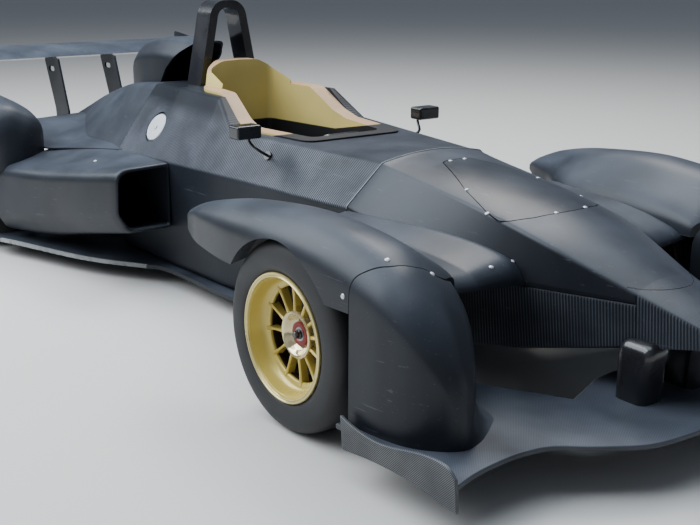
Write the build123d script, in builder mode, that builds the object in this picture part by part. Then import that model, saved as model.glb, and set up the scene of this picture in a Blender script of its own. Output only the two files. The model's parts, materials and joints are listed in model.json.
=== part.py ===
"""A single-seat hill-climb racing car in bare carbon fibre, with faired wheels.

X points to the nose, Y to the driver's left and Z up, in millimetres. The origin is on the ground in the
middle of the car's length. A station is a distance ahead of the front axle, so it is negative behind it.
"""

import os
from math import atan2, cos, radians, sin

from build123d import *

# Whole car
WHEELBASE = 2560.0
FRONT_OVERHANG = 940.0
REAR_OVERHANG = 780.0
FRONT_AXLE_X = (WHEELBASE + REAR_OVERHANG - FRONT_OVERHANG) / 2
REAR_AXLE_STATION = -WHEELBASE
TAIL_STATION = REAR_AXLE_STATION - REAR_OVERHANG
SKIN = 12.0
SEAT_GAP = 0.3
RUNNING_CLEARANCE = 0.05

# Wheels and tyres
FRONT_TYRE_RADIUS = 272.0
FRONT_TYRE_WIDTH = 200.0
FRONT_WHEEL_Y = 717.0
REAR_TYRE_RADIUS = 285.0
REAR_TYRE_WIDTH = 250.0
REAR_WHEEL_Y = 675.0
TYRE_SHOULDER = 20.0
TYRE_BEAD_STEP = 2.0
RIM_SEAT_RADIUS = 166.0
RIM_FLANGE_RADIUS = 182.0
RIM_FLANGE_WIDTH = 8.0
RIM_WALL = 7.0
RIM_WELL_DEPTH = 14.0
RIM_WELL_WIDTH = 60.0
RIM_SLOPE_SHIFT = 3.0
SPOKE_COUNT = 12
SPOKE_WIDTH = 15.0
SPOKE_DEPTH = 22.0
SPOKE_TO_RIM_EDGE = 26.0
SPOKE_ROOT_RADIUS = 32.0
HUB_RADIUS = 46.0
HUB_INSET = 52.0
HUB_DEPTH = 70.0
NUT_ACROSS_FLATS = 58.0
NUT_DEPTH = 26.0
STUB_RADIUS = 22.0
STUB_END_WALL = 12.0
STUB_ROOT_RADIUS = 39.6
DISC_RADIUS = 128.0
DISC_THICKNESS = 22.0

# Steering knuckles
KINGPIN_Y = 640.0
KNUCKLE_HALF_LENGTH = 44.0
KNUCKLE_HALF_THICKNESS = 24.0
KNUCKLE_HALF_HEIGHT = 106.0
BALL_BOSS_RADIUS = 15.0
BALL_BOSS_HEIGHT = 24.0
STEER_ARM_REACH = 95.0
STEER_ARM_SIZE = 22.0
STEER_ARM_INSET = 6.0
STEER_ARM_DROP = 30.0

# Tub; at its waist the leaning upper flank meets the upright lower side
DECK_WALL = 28.0
TUB_EDGE_RADIUS = 22.0
TUB_REAR_STATION = -1830.0
TUB_SPLIT_STATION = -326.0
TUB_FRONT_STATION = 630.0
TUB_SECTIONS = [
    # station, deck half width, deck height, waist half width, waist height, floor half width, floor height
    (TUB_REAR_STATION, 205, 738, 398, 478, 380, 76),
    (-1560, 240, 748, 394, 487, 378, 76),
    (-1225, 266, 750, 386, 495, 372, 76),
    (-1085, 306, 649, 382, 498, 368, 76),
    (TUB_SPLIT_STATION, 208, 635, 350, 512, 330, 96),
]
TUB_NOSE_SECTIONS = [
    # station, top half width, top height, floor half width, floor height
    (TUB_SPLIT_STATION, 346, 500, 330, 96),
    (282, 204, 388, 176, 190),
    (TUB_FRONT_STATION, 126, 405, 112, 278),
]

# Nose: the fairing over the driver's legs, its hatch and the cone ahead of it
FAIRING_SECTIONS = [
    # station, crown height, chine half width, chine height, lower half width, lower height
    (TUB_SPLIT_STATION, 658, 208, 635, 350, 512),
    (-40, 629, 202, 592, 285, 455),
    (282, 575, 195, 536, 210, 402),
    (TUB_FRONT_STATION, 458, 127, 431, 127, 412),
]
CHINE_RADIUS = 9.0
CONE_SECTIONS = [
    # station, crown height, chine half width, chine height, bottom half width, bottom height
    (TUB_FRONT_STATION, 458, 127, 431, 112, 278),
    (814, 402, 100, 380, 90, 321),
    (905, 372, 82, 355, 76, 334),
    (FRONT_OVERHANG, 356, 52, 350, 48, 342),
]
HATCH_THICKNESS = 8.0
HATCH_SEAM = 2.5
HATCH_REAR_STATION = -262.0
HATCH_FRONT_STATION = 388.0
HATCH_REAR_HALF_WIDTH = 96.0
HATCH_MIDDLE_STATION = 150.0
HATCH_MIDDLE_HALF_WIDTH = 158.0
HATCH_FRONT_HALF_WIDTH = 66.0
HATCH_CORNER_RADIUS = 42.0
HATCH_CUT_HEIGHT = 800.0

# Bridges between the body and the front fenders
BRIDGE_OUTER_Y = 600.0
BRIDGE_ROOT_Y = 170.0
BRIDGE_EDGE_RADIUS = 6.0
BRIDGE_OUTLINE = [
    # station, height
    (-312, 488), (-312, 508), (-40, 505), (140, 490), (262, 462), (334, 430), (300, 416), (0, 442),
]

# Front fenders and the pods ahead of the wheels
FENDER_SECTIONS = [
    # station, inner side, outer side, crest height, inner and outer shoulder heights, underside height
    (-600, 736, 756, 496, 486, 488, 470),
    (-560, 712, 778, 520, 500, 508, 458),
    (-430, 640, 815, 568, 515, 535, 442),
    (-240, 538, 832, 602, 500, 545, 432),
    (20, 503, 836, 620, 500, 552, 430),
    (200, 490, 834, 606, 495, 545, 430),
    (318, 490, 828, 585, 490, 520, 430),
]
POD_SECTIONS = [
    # station, inner side, outer side, crest height, inner and outer shoulder heights, underside height
    (318, 490, 828, 585, 470, 520, 140),
    (414, 530, 822, 540, 400, 470, 140),
    (484, 560, 808, 462, 330, 390, 140),
    (538, 578, 786, 370, 260, 300, 140),
    (580, 592, 758, 270, 205, 215, 140),
    (612, 610, 726, 200, 165, 165, 140),
]
CREST_INNER_SHARE = 0.50
CREST_OUTER_SHARE = 0.20
INNER_ROLL_SHARE = 0.28
OUTER_ROLL_SHARE = 0.20
FRONT_WELL_PROFILE = [
    # distance from the middle, radius about the axle, widest where the steered tyre reaches furthest
    (553, 250), (566, 263), (585, 275), (600, 280), (640, 288),
    (690, 302), (740, 309), (765, 302), (800, 287), (848, 270),
]

# Splitter, its end plates and the two pylons under the nose
SPLITTER_TOP_Z = 140.0
SPLITTER_THICKNESS = 14.0
SPLITTER_OUTLINE = [
    # station, distance from the middle, for the left half from the nose outwards and back
    (876, 0), (872, 148), (855, 300), (790, 415), (722, 505), (716, 640), (728, 757), (745, 846),
    (300, 846), (300, 380), (392, 330), (545, 245), (480, 85), (470, 0),
]
END_PLATE_THICKNESS = 10.0
END_PLATE_OUTLINE = [
    # station, height
    (345, 176), (345, 96), (430, 92), (520, 74), (640, 62), (775, 66), (770, 152), (735, 168), (640, 176),
]
PYLON_INNER_Y = 55.0
PYLON_OUTER_Y = 147.0
PYLON_REAR_STATION = 598.0
PYLON_FRONT_STATION = 690.0
PYLON_CORNER = 26.0
PYLON_LEVELS = [
    # height, how far the front edge and the outer side lean out there
    (SPLITTER_TOP_Z, 0, 0), (250, 0, 0), (318, 34, 8.5),
]

# Cockpit
OPENING_REAR_STATION = -1512.0
OPENING_FRONT_STATION = -792.0
OPENING_REAR_RADIUS = 165.0
OPENING_MIDDLE_STATION = -1060.0
OPENING_MIDDLE_HALF_WIDTH = 196.0
OPENING_FRONT_HALF_WIDTH = 150.0
OPENING_FRONT_CORNER = 42.0
SURROUND_WIDTH = 60.0
SURROUND_BOTTOM_Z = 556.0
SURROUND_STEP_STATION = -960.0
SURROUND_STEP_FRONT_STATION = -812.0
SURROUND_STEP_Z = 605.0
SURROUND_FRONT_Z = 648.0
SURROUND_SILL = (-1060.0, 656.0)
SURROUND_RAMP_FOOT = (-1130.0, 678.0)
SURROUND_RAMP_TOP = (-1262.0, 758.0)
SURROUND_REAR_Z = 764.0
HEADREST_TOP_Z = 850.0
HEADREST_HALF_WIDTH = 205.0
HEADREST_DEPTH = 190.0
CUT_OVERREACH = 1.0
CAVITY_REAR_STATION = -1590.0
CAVITY_FRONT_STATION = 240.0

# Steering wheel and dash
STEERING_STATION = -835.0
STEERING_Z = 562.0
STEERING_RAKE = 16.0
STEERING_HALF_WIDTH = 118.0
STEERING_HEIGHT = 171.0
STEERING_CORNER = 65.0
STEERING_INNER_CORNER = 35.0
STEERING_PAD = (118.0, 142.0)
STEERING_GRIP = 14.0
COLUMN_RADIUS = 12.0
COLUMN_LENGTH = 250.0
DASH_STATION = -700.0
DASH_THICKNESS = 24.0
DASH_BOTTOM_Z = 470.0

# Roll hoop
HOOP_STATION = -1640.0
HOOP_TOP_Z = 1080.0
HOOP_FOOT_Z = 736.0
HOOP_FOOT_HALF_WIDTH = 140.0
HOOP_BAND = 30.0
HOOP_CHORD = 105.0
HOOP_CROWN_HALF_WIDTH = 72.0
HOOP_CROWN_ROLL = 70.0

# Engine, its cover and the air box
COVER_SECTIONS = [
    # station, crest half width, crest height, waist half width, waist height, hem half width, hem height
    (TUB_REAR_STATION, 205, 738, 398, 478, 398, 380),
    (REAR_AXLE_STATION + 430, 160, 708, 368, 450, 368, 380),
    (REAR_AXLE_STATION + 60, 105, 625, 296, 408, 296, 360),
    (REAR_AXLE_STATION - 240, 70, 535, 200, 380, 200, 340),
    (REAR_AXLE_STATION - 420, 50, 478, 128, 366, 128, 330),
]
AIRBOX_SECTIONS = [
    # station, half width, top height, foot height
    (-1700, 106, 906, 650),
    (-1940, 122, 914, 640),
    (-2130, 112, 892, 630),
    (-2280, 84, 842, 600),
    (-2350, 52, 772, 590),
]
AIRBOX_CROWN_SHARE = 0.5
AIRBOX_SHOULDER_SHARE = 0.7
AIRBOX_ROLL = 38.0
AIRBOX_WALL = 9.0
AIRBOX_MOUTH = [
    # station, height; the raked front edge and the space cut away ahead of it
    (-2030, 600), (-1957, 725), (-1907, 789), (-1815, 863),
    (-1728, 914), (-1690, 960), (-1600, 960), (-1600, 600),
]
ENGINE_FRONT_STATION = -1842.0
ENGINE_REAR_STATION = REAR_AXLE_STATION + 230.0
ENGINE_HALF_WIDTH = 165.0
ENGINE_TOP_Z = 560.0
ENGINE_BOTTOM_Z = 90.0
GEARBOX_REAR_STATION = REAR_AXLE_STATION - 590.0
GEARBOX_FRONT_HALF = (130.0, 400.0)
GEARBOX_REAR_HALF = (75.0, 340.0)
GEARBOX_BOTTOM_Z = 150.0

# Sidepods
SIDEPOD_SECTIONS = [
    # station, outer side, roof height, shoulder height, belly height, foot half width
    (-1400, 628, 492, 470, 236, 560),
    (-1650, 668, 482, 430, 180, 600),
    (REAR_AXLE_STATION + 610, 702, 470, 388, 130, 662),
    (REAR_AXLE_STATION + 322, 728, 460, 388, 110, 688),
]
SIDEPOD_INNER_Y = 392.0
SIDEPOD_SHOULDER_INSET = 70.0
SIDEPOD_SHOULDER_RISE = 8.0
SIDEPOD_SIDE_DROP = 60.0
SIDEPOD_EDGE_RADIUS = 26.0
SIDEPOD_DUCT_TO_TAIL = 418.0
SIDEPOD_WALL = 10.0

# Floor and diffuser
FLOOR_TOP_Z = 75.0
FLOOR_THICKNESS = 15.0
FLOOR_OUTLINE = [
    # station, distance from the middle
    (-330, 340), (-940, 402), (-1500, 408), (-1720, 560), (REAR_AXLE_STATION + 610, 655),
    (REAR_AXLE_STATION + 380, 735), (REAR_AXLE_STATION + 320, 735),
    (REAR_AXLE_STATION + 320, 500), (REAR_AXLE_STATION + 24, 500),
]
DIFFUSER_HALF_WIDTH = 430.0
DIFFUSER_REAR_STATION = REAR_AXLE_STATION - 590.0
DIFFUSER_RISE = 150.0
DIFFUSER_STRAKES = (-430.0, -215.0, 0.0, 215.0, 430.0)
DIFFUSER_STRAKE_WIDTH = 8.0

# Rear fenders
REAR_FENDER_SECTIONS = [
    # station, inner side, outer side, crest height, inner and outer shoulder heights, underside height
    (REAR_AXLE_STATION + 370, 655, 745, 528, 490, 500, 372),
    (REAR_AXLE_STATION + 350, 600, 785, 582, 535, 525, 368),
    (REAR_AXLE_STATION + 300, 535, 812, 636, 565, 560, 385),
    (REAR_AXLE_STATION + 170, 522, 826, 668, 585, 590, 425),
    (REAR_AXLE_STATION, 515, 834, 676, 595, 600, 430),
    (REAR_AXLE_STATION - 236, 510, 826, 650, 575, 575, 430),
    (REAR_AXLE_STATION - 396, 545, 806, 585, 520, 520, 440),
    (REAR_AXLE_STATION - 466, 610, 770, 520, 485, 485, 445),
]
REAR_WELL_PROFILE = [
    # distance from the middle, radius about the axle
    (538, 304), (850, 304),
]

# Rear wing
WING_SPAN = 1400.0
WING_LEADING_STATION = REAR_AXLE_STATION - 425.0
WING_CHORD = 345.0
WING_Z = 752.0
WING_INCIDENCE = 6.0
WING_THICKNESS = 42.0
WING_TRAILING_EDGE = 4.0
WING_BULGE_AT = 0.3
WING_TOP_BULGE = 0.35
WING_END_PLATE = 9.0
WING_END_PLATE_RADIUS = 16.0
WING_END_PLATE_OUTLINE = [
    # station, height above the leading edge
    (WING_LEADING_STATION + 14, -118), (WING_LEADING_STATION + 20, 34),
    (TAIL_STATION, 72), (TAIL_STATION, -90),
]
WING_PYLON_Y = 146.0
WING_PYLON_THICKNESS = 10.0
WING_PYLON_RADIUS = 12.0
WING_PYLON_OUTLINE = [
    # station, height
    (REAR_AXLE_STATION - 568, 748), (REAR_AXLE_STATION - 402, 748), (REAR_AXLE_STATION - 306, 500),
    (REAR_AXLE_STATION - 290, 372), (REAR_AXLE_STATION - 440, 372), (REAR_AXLE_STATION - 458, 500),
]
WING_PYLON_SLOT = (REAR_AXLE_STATION - 480, 690)
WING_PYLON_SLOT_SIZE = (40.0, 26.0)

# Suspension
WISHBONE_RADIUS = 11.0
FRONT_LOWER_LEGS = (-190.0, -63.0)
FRONT_UPPER_LEGS = (-190.0, 190.0)
REAR_LEGS = (REAR_AXLE_STATION - 190.0, REAR_AXLE_STATION + 95.0)
REAR_WISHBONE_INNER_Y = 60.0
REAR_UPRIGHT_Y = 600.0

# Mirrors and filler cap
MIRROR_STATION = -832.0
MIRROR_Y = 399.0
MIRROR_Z = 687.0
MIRROR_SIZE = (62.0, 96.0, 46.0)
MIRROR_EDGE_RADIUS = 8.0
MIRROR_STALK_RADIUS = 5.0
MIRROR_STALK = [
    # station, distance from the middle, height, from the head to the foot
    (-842, 374, 680), (-838, 374, 642), (-816, 358, 622), (-824, 330, 606), (-833, 300, 590),
]
MIRROR_FOOT_RADIUS = 15.0
FILLER_STATION = -1620.0
FILLER_Z = 596.0
FILLER_RADIUS = 58.0
FILLER_DEPTH = 10.0
FILLER_POCKET_GAP = 9.0

# Seat
SEAT_HALF_WIDTH = 165.0
SEAT_WALL = 14.0
SEAT_FLOOR_STATIONS = (-1250.0, -1085.0, -760.0)
SEAT_UPPER_OUTLINE = [
    # station, height, from the front lip back to the top of the back
    (-690, 250), (-715, 262), (-790, 150), (-1225, 150), (-1478, 545), (-1510, 528),
]
SEAT_WING_OUTLINE = [
    # station, height
    (-1490, 530), (-1240, 150), (-800, 150), (-820, 260), (-1120, 330), (-1380, 530),
]

# Towing eye in the rear of the gearbox
TOW_BORE_RADIUS = 16.0
TOW_EYE_RADIUS = 32.0
TOW_EYE_WIDTH = 24.0
TOW_EYE_Z = 265.0


def x_at(station):
    """The X of a station."""
    return FRONT_AXLE_X + station


def mirrored(half):
    """A closed outline from its left half, given from top to bottom."""
    return half + [(-y, z) for y, z in reversed(half) if y != 0]


def across(station, corners, radius=0.0):
    """A rounded outline in the plane across the car; corners are (y, z)."""
    with BuildSketch(Plane.YZ.offset(x_at(station))) as outline:
        with BuildLine():
            Polyline(*corners, close=True)
        make_face()
        if radius:
            fillet(outline.vertices(), radius)
    return outline.sketch


def along(y, corners, radius=0.0):
    """A rounded outline in an upright plane along the car; corners are (station, z)."""
    with BuildSketch(Plane.XZ.offset(-y)) as outline:
        with BuildLine():
            Polyline(*[(x_at(station), z) for station, z in corners], close=True)
        make_face()
        if radius:
            fillet(outline.vertices(), radius)
    return outline.sketch


def from_above(z, corners, radius=0.0):
    """A rounded outline in a level plane; corners are (station, y)."""
    with BuildSketch(Plane.XY.offset(z)) as outline:
        with BuildLine():
            Polyline(*[(x_at(station), y) for station, y in corners], close=True)
        make_face()
        if radius:
            fillet(outline.vertices(), radius)
    return outline.sketch


def rod(start, end, radius):
    """A round bar between two points, (station, y, z) each."""
    first = Vector(x_at(start[0]), start[1], start[2])
    last = Vector(x_at(end[0]), end[1], end[2])
    with BuildPart() as bar:
        with BuildSketch(Plane(origin=first, z_dir=last - first)):
            Circle(radius)
        extrude(amount=(last - first).length)
    return bar.part


def save(piece, name):
    """Label a finished piece and write it to its own file."""
    piece.part.label = name
    export_step(piece.part, f"parts/{name}.step")


def save_pair(left_piece, name):
    """Write a left piece and its mirror image."""
    save(left_piece, f"{name}_left")
    with BuildPart() as right_piece:
        mirror(left_piece.part, about=Plane.XZ)
    save(right_piece, f"{name}_right")


def between(rows, station):
    """A row of a table at a station between two of its rows."""
    for first, last in zip(rows, rows[1:]):
        if min(first[0], last[0]) <= station <= max(first[0], last[0]):
            share = (station - first[0]) / (last[0] - first[0])
            return [a + share * (b - a) for a, b in zip(first, last)]
    raise ValueError(f"station {station} is off the table")


os.makedirs("parts", exist_ok=True)


# Tub


def tub_corners(row, inset=0.0):
    """The section of the tub behind the nose, or the same drawn in by a wall."""
    station, deck_half, deck_z, waist_half, waist_z, floor_half, floor_z = row
    return mirrored([
        (deck_half - inset, deck_z - inset),
        (waist_half - inset, waist_z),
        (floor_half - inset, floor_z + inset),
    ])


def tub_nose_corners(row, inset=0.0):
    """The section of the tub under the nose fairing."""
    station, top_half, top_z, floor_half, floor_z = row
    return mirrored([(top_half - inset, top_z - inset), (floor_half - inset, floor_z + inset)])


def opening_sketch(z, grow=0.0):
    """The cockpit's opening seen from above, round behind the driver's head."""
    rear_centre = OPENING_REAR_STATION + OPENING_REAR_RADIUS
    radius = OPENING_REAR_RADIUS + grow
    middle = OPENING_MIDDLE_HALF_WIDTH + grow
    front = OPENING_FRONT_HALF_WIDTH + grow
    front_x = x_at(OPENING_FRONT_STATION + grow)
    with BuildSketch(Plane.XY.offset(z)) as outline:
        with BuildLine():
            Line((x_at(rear_centre), radius), (x_at(OPENING_MIDDLE_STATION), middle))
            Line((x_at(OPENING_MIDDLE_STATION), middle), (front_x, front))
            Line((front_x, front), (front_x, -front))
            Line((front_x, -front), (x_at(OPENING_MIDDLE_STATION), -middle))
            Line((x_at(OPENING_MIDDLE_STATION), -middle), (x_at(rear_centre), -radius))
            ThreePointArc(
                (x_at(rear_centre), -radius), (x_at(rear_centre) - radius, 0), (x_at(rear_centre), radius)
            )
        make_face()
        front_corners = outline.vertices().filter_by_position(Axis.X, front_x - 1, front_x + 1)
        fillet(front_corners, OPENING_FRONT_CORNER + grow / 2)
    return outline.sketch


filler_side = between(TUB_SECTIONS, FILLER_STATION)
FILLER_SLOPE = atan2(filler_side[3] - filler_side[1], filler_side[2] - filler_side[4])
FILLER_Y = -(filler_side[1] + (filler_side[2] - FILLER_Z) * (filler_side[3] - filler_side[1])
             / (filler_side[2] - filler_side[4]))
filler_plane = Plane(
    origin=(x_at(FILLER_STATION), FILLER_Y, FILLER_Z),
    x_dir=(1, 0, 0),
    z_dir=(0, -cos(FILLER_SLOPE), sin(FILLER_SLOPE)),
)

with BuildPart() as tub:
    loft([across(row[0], tub_corners(row), TUB_EDGE_RADIUS) for row in TUB_SECTIONS], ruled=True)
    nose_faces = [across(row[0], tub_nose_corners(row), TUB_EDGE_RADIUS / 2) for row in TUB_NOSE_SECTIONS]
    loft(nose_faces, ruled=True)
    rear_cavity = [between(TUB_SECTIONS, CAVITY_REAR_STATION)] + TUB_SECTIONS[2:]
    loft(
        [across(row[0], tub_corners(row, DECK_WALL), TUB_EDGE_RADIUS / 2) for row in rear_cavity],
        ruled=True,
        mode=Mode.SUBTRACT,
    )
    leg_cavity = [TUB_NOSE_SECTIONS[0], between(TUB_NOSE_SECTIONS, CAVITY_FRONT_STATION)]
    loft(
        [across(row[0], tub_nose_corners(row, DECK_WALL), TUB_EDGE_RADIUS / 2) for row in leg_cavity],
        ruled=True,
        mode=Mode.SUBTRACT,
    )
    extrude(opening_sketch(SURROUND_BOTTOM_Z, SURROUND_WIDTH), amount=HEADREST_TOP_Z, mode=Mode.SUBTRACT)
    with BuildSketch(filler_plane):
        Circle(FILLER_RADIUS + FILLER_POCKET_GAP)
    extrude(amount=FILLER_DEPTH, both=True, mode=Mode.SUBTRACT)
save(tub, "tub")

with BuildPart() as filler_cap:
    with BuildSketch(filler_plane.offset(-FILLER_DEPTH)):
        Circle(FILLER_RADIUS)
    extrude(amount=FILLER_DEPTH)
    chamfer(filler_cap.faces().sort_by(Axis.Y)[0].edges(), FILLER_DEPTH / 4)
    with BuildSketch(filler_plane):
        Circle(FILLER_RADIUS / 6)
    extrude(amount=FILLER_DEPTH / 3)
save(filler_cap, "filler_cap")


# Nose fairing, hatch and cone


def fairing_corners(row, drop=0.0):
    """The section of the fairing over the legs, down to the tub's top."""
    station, crown_z, chine_half, chine_z, lower_half, lower_z = row
    base = between(TUB_NOSE_SECTIONS, station)
    return mirrored([
        (0, crown_z - drop), (chine_half, chine_z - drop), (lower_half, lower_z - drop), (base[1], base[2]),
    ])


def fairing_face(row, drop=0.0):
    """One section with its two chines rounded."""
    with BuildSketch(Plane.YZ.offset(x_at(row[0]))) as outline:
        with BuildLine():
            Polyline(*fairing_corners(row, drop), close=True)
        make_face()
        fillet(chine_vertices(outline, row, drop), CHINE_RADIUS)
    return outline.sketch


def chine_vertices(outline, row, drop):
    """The two corners of a section at the chines."""
    chine_z = row[3] - drop
    return outline.vertices().filter_by_position(Axis.Y, chine_z, chine_z)


def hatch_outline(shrink=0.0):
    """The hatch seen from above, drawn in by a seam."""
    half = [
        (HATCH_REAR_STATION + shrink, HATCH_REAR_HALF_WIDTH - shrink),
        (HATCH_MIDDLE_STATION, HATCH_MIDDLE_HALF_WIDTH - shrink),
        (HATCH_FRONT_STATION - shrink, HATCH_FRONT_HALF_WIDTH - shrink),
    ]
    corners = half + [(station, -y) for station, y in reversed(half)]
    return from_above(0, corners, HATCH_CORNER_RADIUS)


with BuildPart() as fairing_form:
    loft([fairing_face(row) for row in FAIRING_SECTIONS], ruled=True)
with BuildPart() as hatch_bed:
    add(fairing_form.part.moved(Location((0, 0, -HATCH_THICKNESS))))

with BuildPart() as nose_hatch:
    add(fairing_form.part)
    add(hatch_bed.part, mode=Mode.SUBTRACT)
    extrude(hatch_outline(HATCH_SEAM), amount=HATCH_CUT_HEIGHT, mode=Mode.INTERSECT)
with BuildPart() as hatch_pocket:
    add(fairing_form.part)
    add(hatch_bed.part, mode=Mode.SUBTRACT)
    extrude(hatch_outline(), amount=HATCH_CUT_HEIGHT, mode=Mode.INTERSECT)
with BuildPart() as nose_fairing:
    add(fairing_form.part)
    add(hatch_pocket.part, mode=Mode.SUBTRACT)
save(nose_fairing, "nose_fairing")
save(nose_hatch, "nose_hatch")


def cone_corners(row):
    """The section of the nose cone, crowned above and narrower below."""
    station, crown_z, chine_half, chine_z, bottom_half, bottom_z = row
    return mirrored([(0, crown_z), (chine_half, chine_z), (bottom_half, bottom_z)])


with BuildPart() as nose_cone:
    loft([across(row[0], cone_corners(row)) for row in CONE_SECTIONS], ruled=True)
save(nose_cone, "nose_cone")


# Bridges, front fenders and pods


def pontoon_section(row):
    """The left section of a fender or pod: upright sides that roll over into the crest."""
    station, inner_y, outer_y, crest_z, inner_z, outer_z, under_z = row
    width = outer_y - inner_y
    crest_inner_y = inner_y + width * CREST_INNER_SHARE
    crest_outer_y = outer_y - width * CREST_OUTER_SHARE
    rolls = [
        (inner_y, inner_z, INNER_ROLL_SHARE),
        (crest_inner_y, crest_z, INNER_ROLL_SHARE),
        (crest_outer_y, crest_z, OUTER_ROLL_SHARE),
        (outer_y, outer_z, OUTER_ROLL_SHARE),
    ]
    with BuildSketch(Plane.YZ.offset(x_at(station))) as outline:
        with BuildLine():
            Polyline((inner_y, under_z), *[(y, z) for y, z, share in rolls], (outer_y, under_z), close=True)
        make_face()
        for y, z, share in rolls:
            fillet(outline.vertices().sort_by_distance((y, z))[0], width * share)
    return outline.sketch


def wheel_well(axle_station, axle_z, profile):
    """The space swept round an axle; the profile is (y, radius)."""
    with BuildPart() as well:
        with BuildSketch(Plane.XY.offset(axle_z)):
            with BuildLine():
                Polyline(
                    (x_at(axle_station), profile[0][0]),
                    *[(x_at(axle_station) + radius, y) for y, radius in profile],
                    (x_at(axle_station), profile[-1][0]),
                    close=True,
                )
            make_face()
        revolve(axis=Axis((x_at(axle_station), 0, axle_z), (0, 1, 0)))
    return well.part


front_tyre_space = wheel_well(0, FRONT_TYRE_RADIUS, FRONT_WELL_PROFILE)

with BuildPart() as fender_left:
    loft([pontoon_section(row) for row in FENDER_SECTIONS], ruled=True)
    add(front_tyre_space, mode=Mode.SUBTRACT)
save_pair(fender_left, "fender")

with BuildPart() as front_pod_left:
    loft([pontoon_section(row) for row in POD_SECTIONS], ruled=True)
save_pair(front_pod_left, "front_pod")

with BuildPart() as bridge_left:
    bridge_face = along(BRIDGE_ROOT_Y, BRIDGE_OUTLINE, BRIDGE_EDGE_RADIUS)
    extrude(bridge_face, amount=-(BRIDGE_OUTER_Y - BRIDGE_ROOT_Y))
    for neighbour in (tub.part, fairing_form.part, front_tyre_space, fender_left.part, front_pod_left.part):
        add(neighbour, mode=Mode.SUBTRACT)
save_pair(bridge_left, "bridge")


# Splitter, end plates and pylons

with BuildPart() as splitter:
    splitter_corners = SPLITTER_OUTLINE + [(station, -y) for station, y in reversed(SPLITTER_OUTLINE) if y]
    extrude(from_above(SPLITTER_TOP_Z - SPLITTER_THICKNESS, splitter_corners), amount=SPLITTER_THICKNESS)
save(splitter, "splitter")

with BuildPart() as end_plates:
    plate_y = max(y for station, y in SPLITTER_OUTLINE)
    extrude(along(plate_y, END_PLATE_OUTLINE), amount=-END_PLATE_THICKNESS)
    mirror(about=Plane.XZ)
save(end_plates, "end_plates")

with BuildPart() as nose_pylons:
    for z, front_lean, side_lean in PYLON_LEVELS:
        with BuildSketch(Plane.XY.offset(z)) as pylon_section:
            with BuildLine():
                Polyline(
                    (x_at(PYLON_REAR_STATION), PYLON_INNER_Y),
                    (x_at(PYLON_FRONT_STATION) + front_lean, PYLON_INNER_Y),
                    (x_at(PYLON_FRONT_STATION) + front_lean, PYLON_OUTER_Y + side_lean),
                    (x_at(PYLON_REAR_STATION), PYLON_OUTER_Y + side_lean),
                    close=True,
                )
            make_face()
            fillet(pylon_section.vertices(), PYLON_CORNER)
    loft(ruled=True)
    add(tub.part, mode=Mode.SUBTRACT)
    add(nose_cone.part, mode=Mode.SUBTRACT)
    mirror(about=Plane.XZ)
save(nose_pylons, "nose_pylons")


# Cockpit surround, seat, dash and steering wheel


front_limit = OPENING_FRONT_STATION + SURROUND_WIDTH + CUT_OVERREACH
rear_limit = OPENING_REAR_STATION - SURROUND_WIDTH - CUT_OVERREACH
surround_side = [
    (SURROUND_STEP_STATION, SURROUND_BOTTOM_Z),
    (SURROUND_STEP_FRONT_STATION, SURROUND_STEP_Z),
    (front_limit, SURROUND_STEP_Z),
    (front_limit, SURROUND_FRONT_Z),
    SURROUND_SILL,
    SURROUND_RAMP_FOOT,
    SURROUND_RAMP_TOP,
    (rear_limit, SURROUND_REAR_Z),
    (rear_limit, SURROUND_BOTTOM_Z),
]

with BuildPart() as cockpit_surround:
    extrude(opening_sketch(SURROUND_BOTTOM_Z, SURROUND_WIDTH), amount=SURROUND_REAR_Z - SURROUND_BOTTOM_Z)
    side_reach = TUB_SECTIONS[0][3]
    extrude(along(-side_reach, surround_side), amount=-2 * side_reach, mode=Mode.INTERSECT)
    arch_z = SURROUND_RAMP_TOP[1]
    with BuildSketch(Plane.YZ.offset(x_at(OPENING_REAR_STATION - SURROUND_WIDTH))):
        with BuildLine():
            ThreePointArc((-HEADREST_HALF_WIDTH, arch_z), (0, HEADREST_TOP_Z), (HEADREST_HALF_WIDTH, arch_z))
            Polyline(
                (HEADREST_HALF_WIDTH, arch_z), (HEADREST_HALF_WIDTH, SURROUND_BOTTOM_Z),
                (-HEADREST_HALF_WIDTH, SURROUND_BOTTOM_Z), (-HEADREST_HALF_WIDTH, arch_z),
            )
        make_face()
    extrude(amount=HEADREST_DEPTH)
    extrude(opening_sketch(SURROUND_BOTTOM_Z, SURROUND_WIDTH), amount=HEADREST_TOP_Z, mode=Mode.INTERSECT)
    extrude(opening_sketch(SURROUND_BOTTOM_Z), amount=HEADREST_TOP_Z, mode=Mode.SUBTRACT)
save(cockpit_surround, "cockpit_surround")


def cavity_floor(station):
    """The height of the cockpit's floor."""
    return between(TUB_SECTIONS, station)[6] + DECK_WALL + SEAT_GAP


with BuildPart() as seat:
    seat_outline = [(station, cavity_floor(station)) for station in SEAT_FLOOR_STATIONS] + SEAT_UPPER_OUTLINE
    extrude(along(-SEAT_HALF_WIDTH, seat_outline), amount=-2 * SEAT_HALF_WIDTH)
    for inner_y in (-SEAT_HALF_WIDTH, SEAT_HALF_WIDTH - SEAT_WALL):
        extrude(along(inner_y, SEAT_WING_OUTLINE), amount=-SEAT_WALL)
save(seat, "seat")

column_axis = Plane(
    origin=(x_at(STEERING_STATION), 0, STEERING_Z),
    x_dir=(0, 1, 0),
    z_dir=(cos(radians(STEERING_RAKE)), 0, -sin(radians(STEERING_RAKE))),
)

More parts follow.
